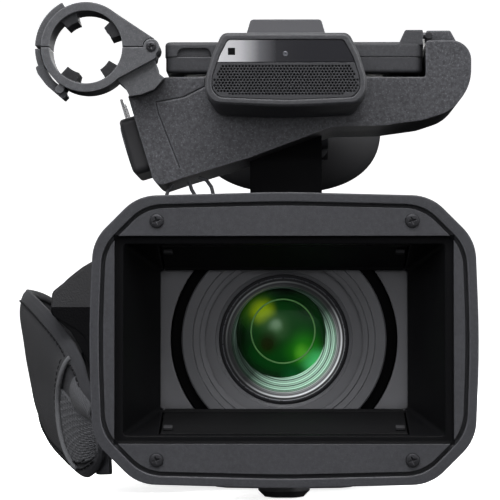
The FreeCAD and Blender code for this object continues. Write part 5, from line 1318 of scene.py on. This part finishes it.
    # viewfinder: focus wheel and seam
    knurled("viewfinder_wheel", None, (21.0, 130.0, 176.0), (1, 0, 0), 5.2, 1.8, 30, M["knob_plastic"], "viewfinder", "knob_plastic", 0.3)
    add_mesh("viewfinder_seam", *merge([rounded(None, (1.0, 119.0, 168.0), (40.4, 0.5, 36.4), 0.2, None)]), M["ring_black"], body="viewfinder", slot="casing_plastic", smooth=50)
    # panel frame keys
    add_mesh("bezel_keys", *merge([rounded(None, (46.0, -78 + i * 9.0, 171.6), (4.6, 5.4, 0.9), 0.4, None) for i in range(4)]), M["rocker_plastic"], body="lcd_panel", slot="rocker_plastic", smooth=50)
    # jack sockets: dark bores with three contact holes and a bright ring
    def on_jack(v):
        a = math.radians(-16.6)
        x, y, z = v.x * 1000, v.y, v.z * 1000
        return Vector(((x * math.cos(a) + z * math.sin(a) - 63.0) * 0.001, y, (-x * math.sin(a) + z * math.cos(a) + 162.2) * 0.001))
    J, P = [], []
    for y in (-79.0, -54.0):
        J.append(spin([(8.5, -0.3), (8.5, 0.45), (9.0, 0.6), (9.7, 0.45), (9.9, 0.0), (9.9, -0.3)], (-6.6, y, -19.7), (-1, 0, 0), 80))
        for a in (90, 210, 330):
            P.append(spin([(1.25, -0.1), (1.25, 0.12), (0.7, 0.16), (0.65, -0.1)], (0.5, y + 3.9 * math.cos(math.radians(a)), -19.7 + 3.9 * math.sin(math.radians(a))), (-1, 0, 0), 24))
    v, f = merge(J)
    # the ring's disc would close the socket, so its end faces are left out
    f = [q for q in f if len(q) == 4]
    add_mesh("jack_rings", [on_jack(Vector(p)) for p in v], f, M["cell_metal"], slot="jack_plastic", smooth=40)
    v, f = merge(P)
    f = [q for q in f if len(q) == 4]
    add_mesh("jack_contacts", [on_jack(Vector(p)) for p in v], f, M["tab_metal"], slot="tab_metal", smooth=40)
    # rubber cheek of the grip, between its front and the strap
    rounded("grip_cheek_pad", (-80.6, -55.0, 51.0), (7.0, 8.0, 26.0), 2.6, M["pad_rubber"], slot="grip_plastic")
    # lugs inside the shutter flaps, near their free edges
    for sgn, body, nm in ((1, "shutter_upper", "upper"), (-1, "shutter_lower", "lower")):
        L = []
        for x in (-43.6, 43.6):
            tilt = Matrix.Rotation(sgn * math.radians(-12.6), 3, "X")
            L.append(rounded(None, (x, -165.5, 64 + sgn * 33.0), (3.4, 3.4, 1.4), 0.3, None, rot=tilt))
        add_mesh("flap_lugs_" + nm, *merge(L), M["pad_rubber"], body=body, slot="flap_plastic", smooth=40)
    # microphone ring: hinge screw; the groove profile just below is not used
    pr = [(16.15, -106.12), (16.55, -106.12), (16.55, -105.7), (16.15, -105.7)]
    add_mesh("clamp_screw", *screw_head((-53.0, -106.0, 180.8), (0, -1, 0), 2.0, 0.9, 0.2), M["screw_steel"], slot="screw_steel", smooth=40)
    # sensor window and lamp in the gloss panel
    rounded("panel_window", (-20.5, -127.25, 176.6), (2.9, 0.5, 2.9), 0.12, M["ring_black"], slot="gloss_panel")
    add_mesh("panel_lamp", *spin([(1.0, -0.4), (1.0, 0.12), (0.72, 0.2), (0.6, -0.2), (0.05, -0.25)], (0.6, -127.8, 175.6), (0, -1, 0), 32), M["cell_metal"], slot="gloss_panel", smooth=40)
    # rubber feet in the base
    F = [rounded(None, (x, y, 0.25), (9.0, 26.0, 0.6), 0.25, None) for x, y in ((-19, 30), (19, 30))]
    add_mesh("base_pads", *merge(F), M["ring_rubber"], slot="ring_rubber", smooth=50)
    # stitched look of the top cover's rim: a thin dark seam line all round the deck
    L = [rounded(None, (x, 44.0, 107.0), (0.5, 160.0, 0.5), 0.2, None) for x in (-46.0, 50.0)]
    L += [rounded(None, (2.0, 124.0, 107.0), (92.0, 0.5, 0.5), 0.2, None)]
    add_mesh("deck_seam", *merge(L), M["felt_black"], slot="casing_plastic", smooth=50)


M["mark_white"] = plastic("mark_white", (0.55, 0.55, 0.56), 0.6, grain=0.0004, bump=0.02, edge=0.0, radius=0.0001)
details()




# ---------------------------------------------------------------- floor, lights, camera
def studio():
    sc = bpy.context.scene
    me = bpy.data.meshes.new("studio_floor")
    d, h, r, n = 7.0, 6.0, 1.5, 96
    prof = [(0.6, 0.0), (2.0, 0.0), (d - r, 0.0)] + [(d - r + r * math.sin(a), r - r * math.cos(a)) for a in [math.pi / 2 * i / 12 for i in range(1, 13)]] + [(d, h)]
    verts, faces = [(0.0, 0.0, -0.0004)], []
    for i in range(n):
        a = 2 * math.pi * i / n
        verts += [(q * math.cos(a), q * math.sin(a), z - 0.0004) for q, z in prof]
    m = len(prof)
    for i in range(n):
        k = (i + 1) % n
        faces.append((0, 1 + i * m, 1 + k * m))
        for j in range(m - 1):
            faces.append((1 + i * m + j, 1 + i * m + j + 1, 1 + k * m + j + 1, 1 + k * m + j))
    me.from_pydata(verts, [], faces)
    ob = bpy.data.objects.new("studio_floor", me)
    sc.collection.objects.link(ob)
    for p in me.polygons:
        p.use_smooth = True
    m, t, b = material("studio_paper", 0.9, 0.0, 0.1)
    co = coords(t)
    t.links.new(mix(t, noise(t, co, 900.0, 2.0), (0.90, 0.90, 0.90), (0.94, 0.94, 0.94)), b.inputs["Base Color"])
    b.inputs["Emission Color"].default_value = (1, 1, 1, 1)
    b.inputs["Emission Strength"].default_value = 0.80
    me.materials.append(m)
    ob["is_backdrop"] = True
    ob.visible_diffuse = False
    ob.visible_glossy = False
    ob.visible_shadow = False

    wd = bpy.data.worlds.new("studio_world")
    sc.world = wd
    wd.use_nodes = True
    t = wd.node_tree
    t.nodes.clear()
    out = t.nodes.new("ShaderNodeOutputWorld")
    bg = t.nodes.new("ShaderNodeBackground")
    gz = node(t, "SeparateXYZ", {0: node(t, "TexCoord").outputs["Generated"]})
    up = ramp(t, math_(t, "ADD", math_(t, "MULTIPLY", gz.outputs[2], 0.5), 0.5), [(0.0, (0.0, 0.0, 0.0)), (0.44, (0.006, 0.006, 0.006)), (0.55, (0.07, 0.07, 0.072)), (0.72, (0.32, 0.32, 0.33)), (1.0, (0.75, 0.75, 0.76))])
    t.links.new(up, bg.inputs[0])
    bg.inputs[1].default_value = 1.0
    t.links.new(bg.outputs[0], out.inputs[0])

    def area(name, loc, aim, size, power, size_y=None):
        li = bpy.data.lights.new(name, "AREA")
        li.energy = power
        li.shape = "RECTANGLE"
        li.size = size
        li.size_y = size_y or size
        o = bpy.data.objects.new(name, li)
        sc.collection.objects.link(o)
        o.location = loc
        o.rotation_mode = "QUATERNION"
        o.rotation_quaternion = (Vector(aim) - Vector(loc)).to_track_quat("-Z", "Y")
        return o

    area("key_top", (-0.10, -0.75, 1.10), (0, -0.10, 0.08), 1.1, 17.0, 0.7)
    kl = area("key_left", (-0.85, -1.15, 0.62), (0, -0.15, 0.09), 0.40, 8.0, 0.50)
    kl.visible_glossy = False
    area("fill_right", (1.1, -0.75, 0.55), (0, -0.1, 0.1), 0.5, 5.0, 0.8)
    fr = area("front_soft", (0.10, -1.9, 0.22), (0, -0.15, 0.09), 0.9, 13.0, 0.7)
    fr.visible_glossy = False
    area("rim_back", (0.2, 1.1, 1.0), (0, 0.1, 0.12), 1.0, 9.0, 0.6)

    area("side_right", (1.7, 0.35, 0.75), (0, 0.05, 0.09), 0.9, 9.0, 0.7)
    area("side_left", (-1.7, 0.35, 0.75), (0, 0.05, 0.09), 0.9, 9.0, 0.7)
    area("back_soft", (0.0, 2.0, 0.7), (0, 0.1, 0.09), 1.0, 9.0, 0.7)

    cam = bpy.data.cameras.new("camera")
    cam.lens = 194.2
    cam.sensor_width = 36.0
    cam.clip_start, cam.clip_end = 0.05, 20.0
    co_ = bpy.data.objects.new("camera", cam)
    sc.collection.objects.link(co_)
    co_.location = (0.0, -1.180, 0.0673)
    co_.rotation_mode = "QUATERNION"
    co_.rotation_quaternion = (Vector((-0.0126, -0.180, 0.0973)) - co_.location).to_track_quat("-Z", "Y")
    sc.camera = co_
    sc.view_settings.view_transform = "Standard"
    sc.view_settings.look = "None"
    sc.view_settings.exposure = 0.0


studio()

vis_lo, vis_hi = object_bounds()
({"cad": [[float(v) for v in cad_lo], [float(v) for v in cad_hi]],
           "visual": [[float(v) for v in vis_lo], [float(v) for v in vis_hi]]})
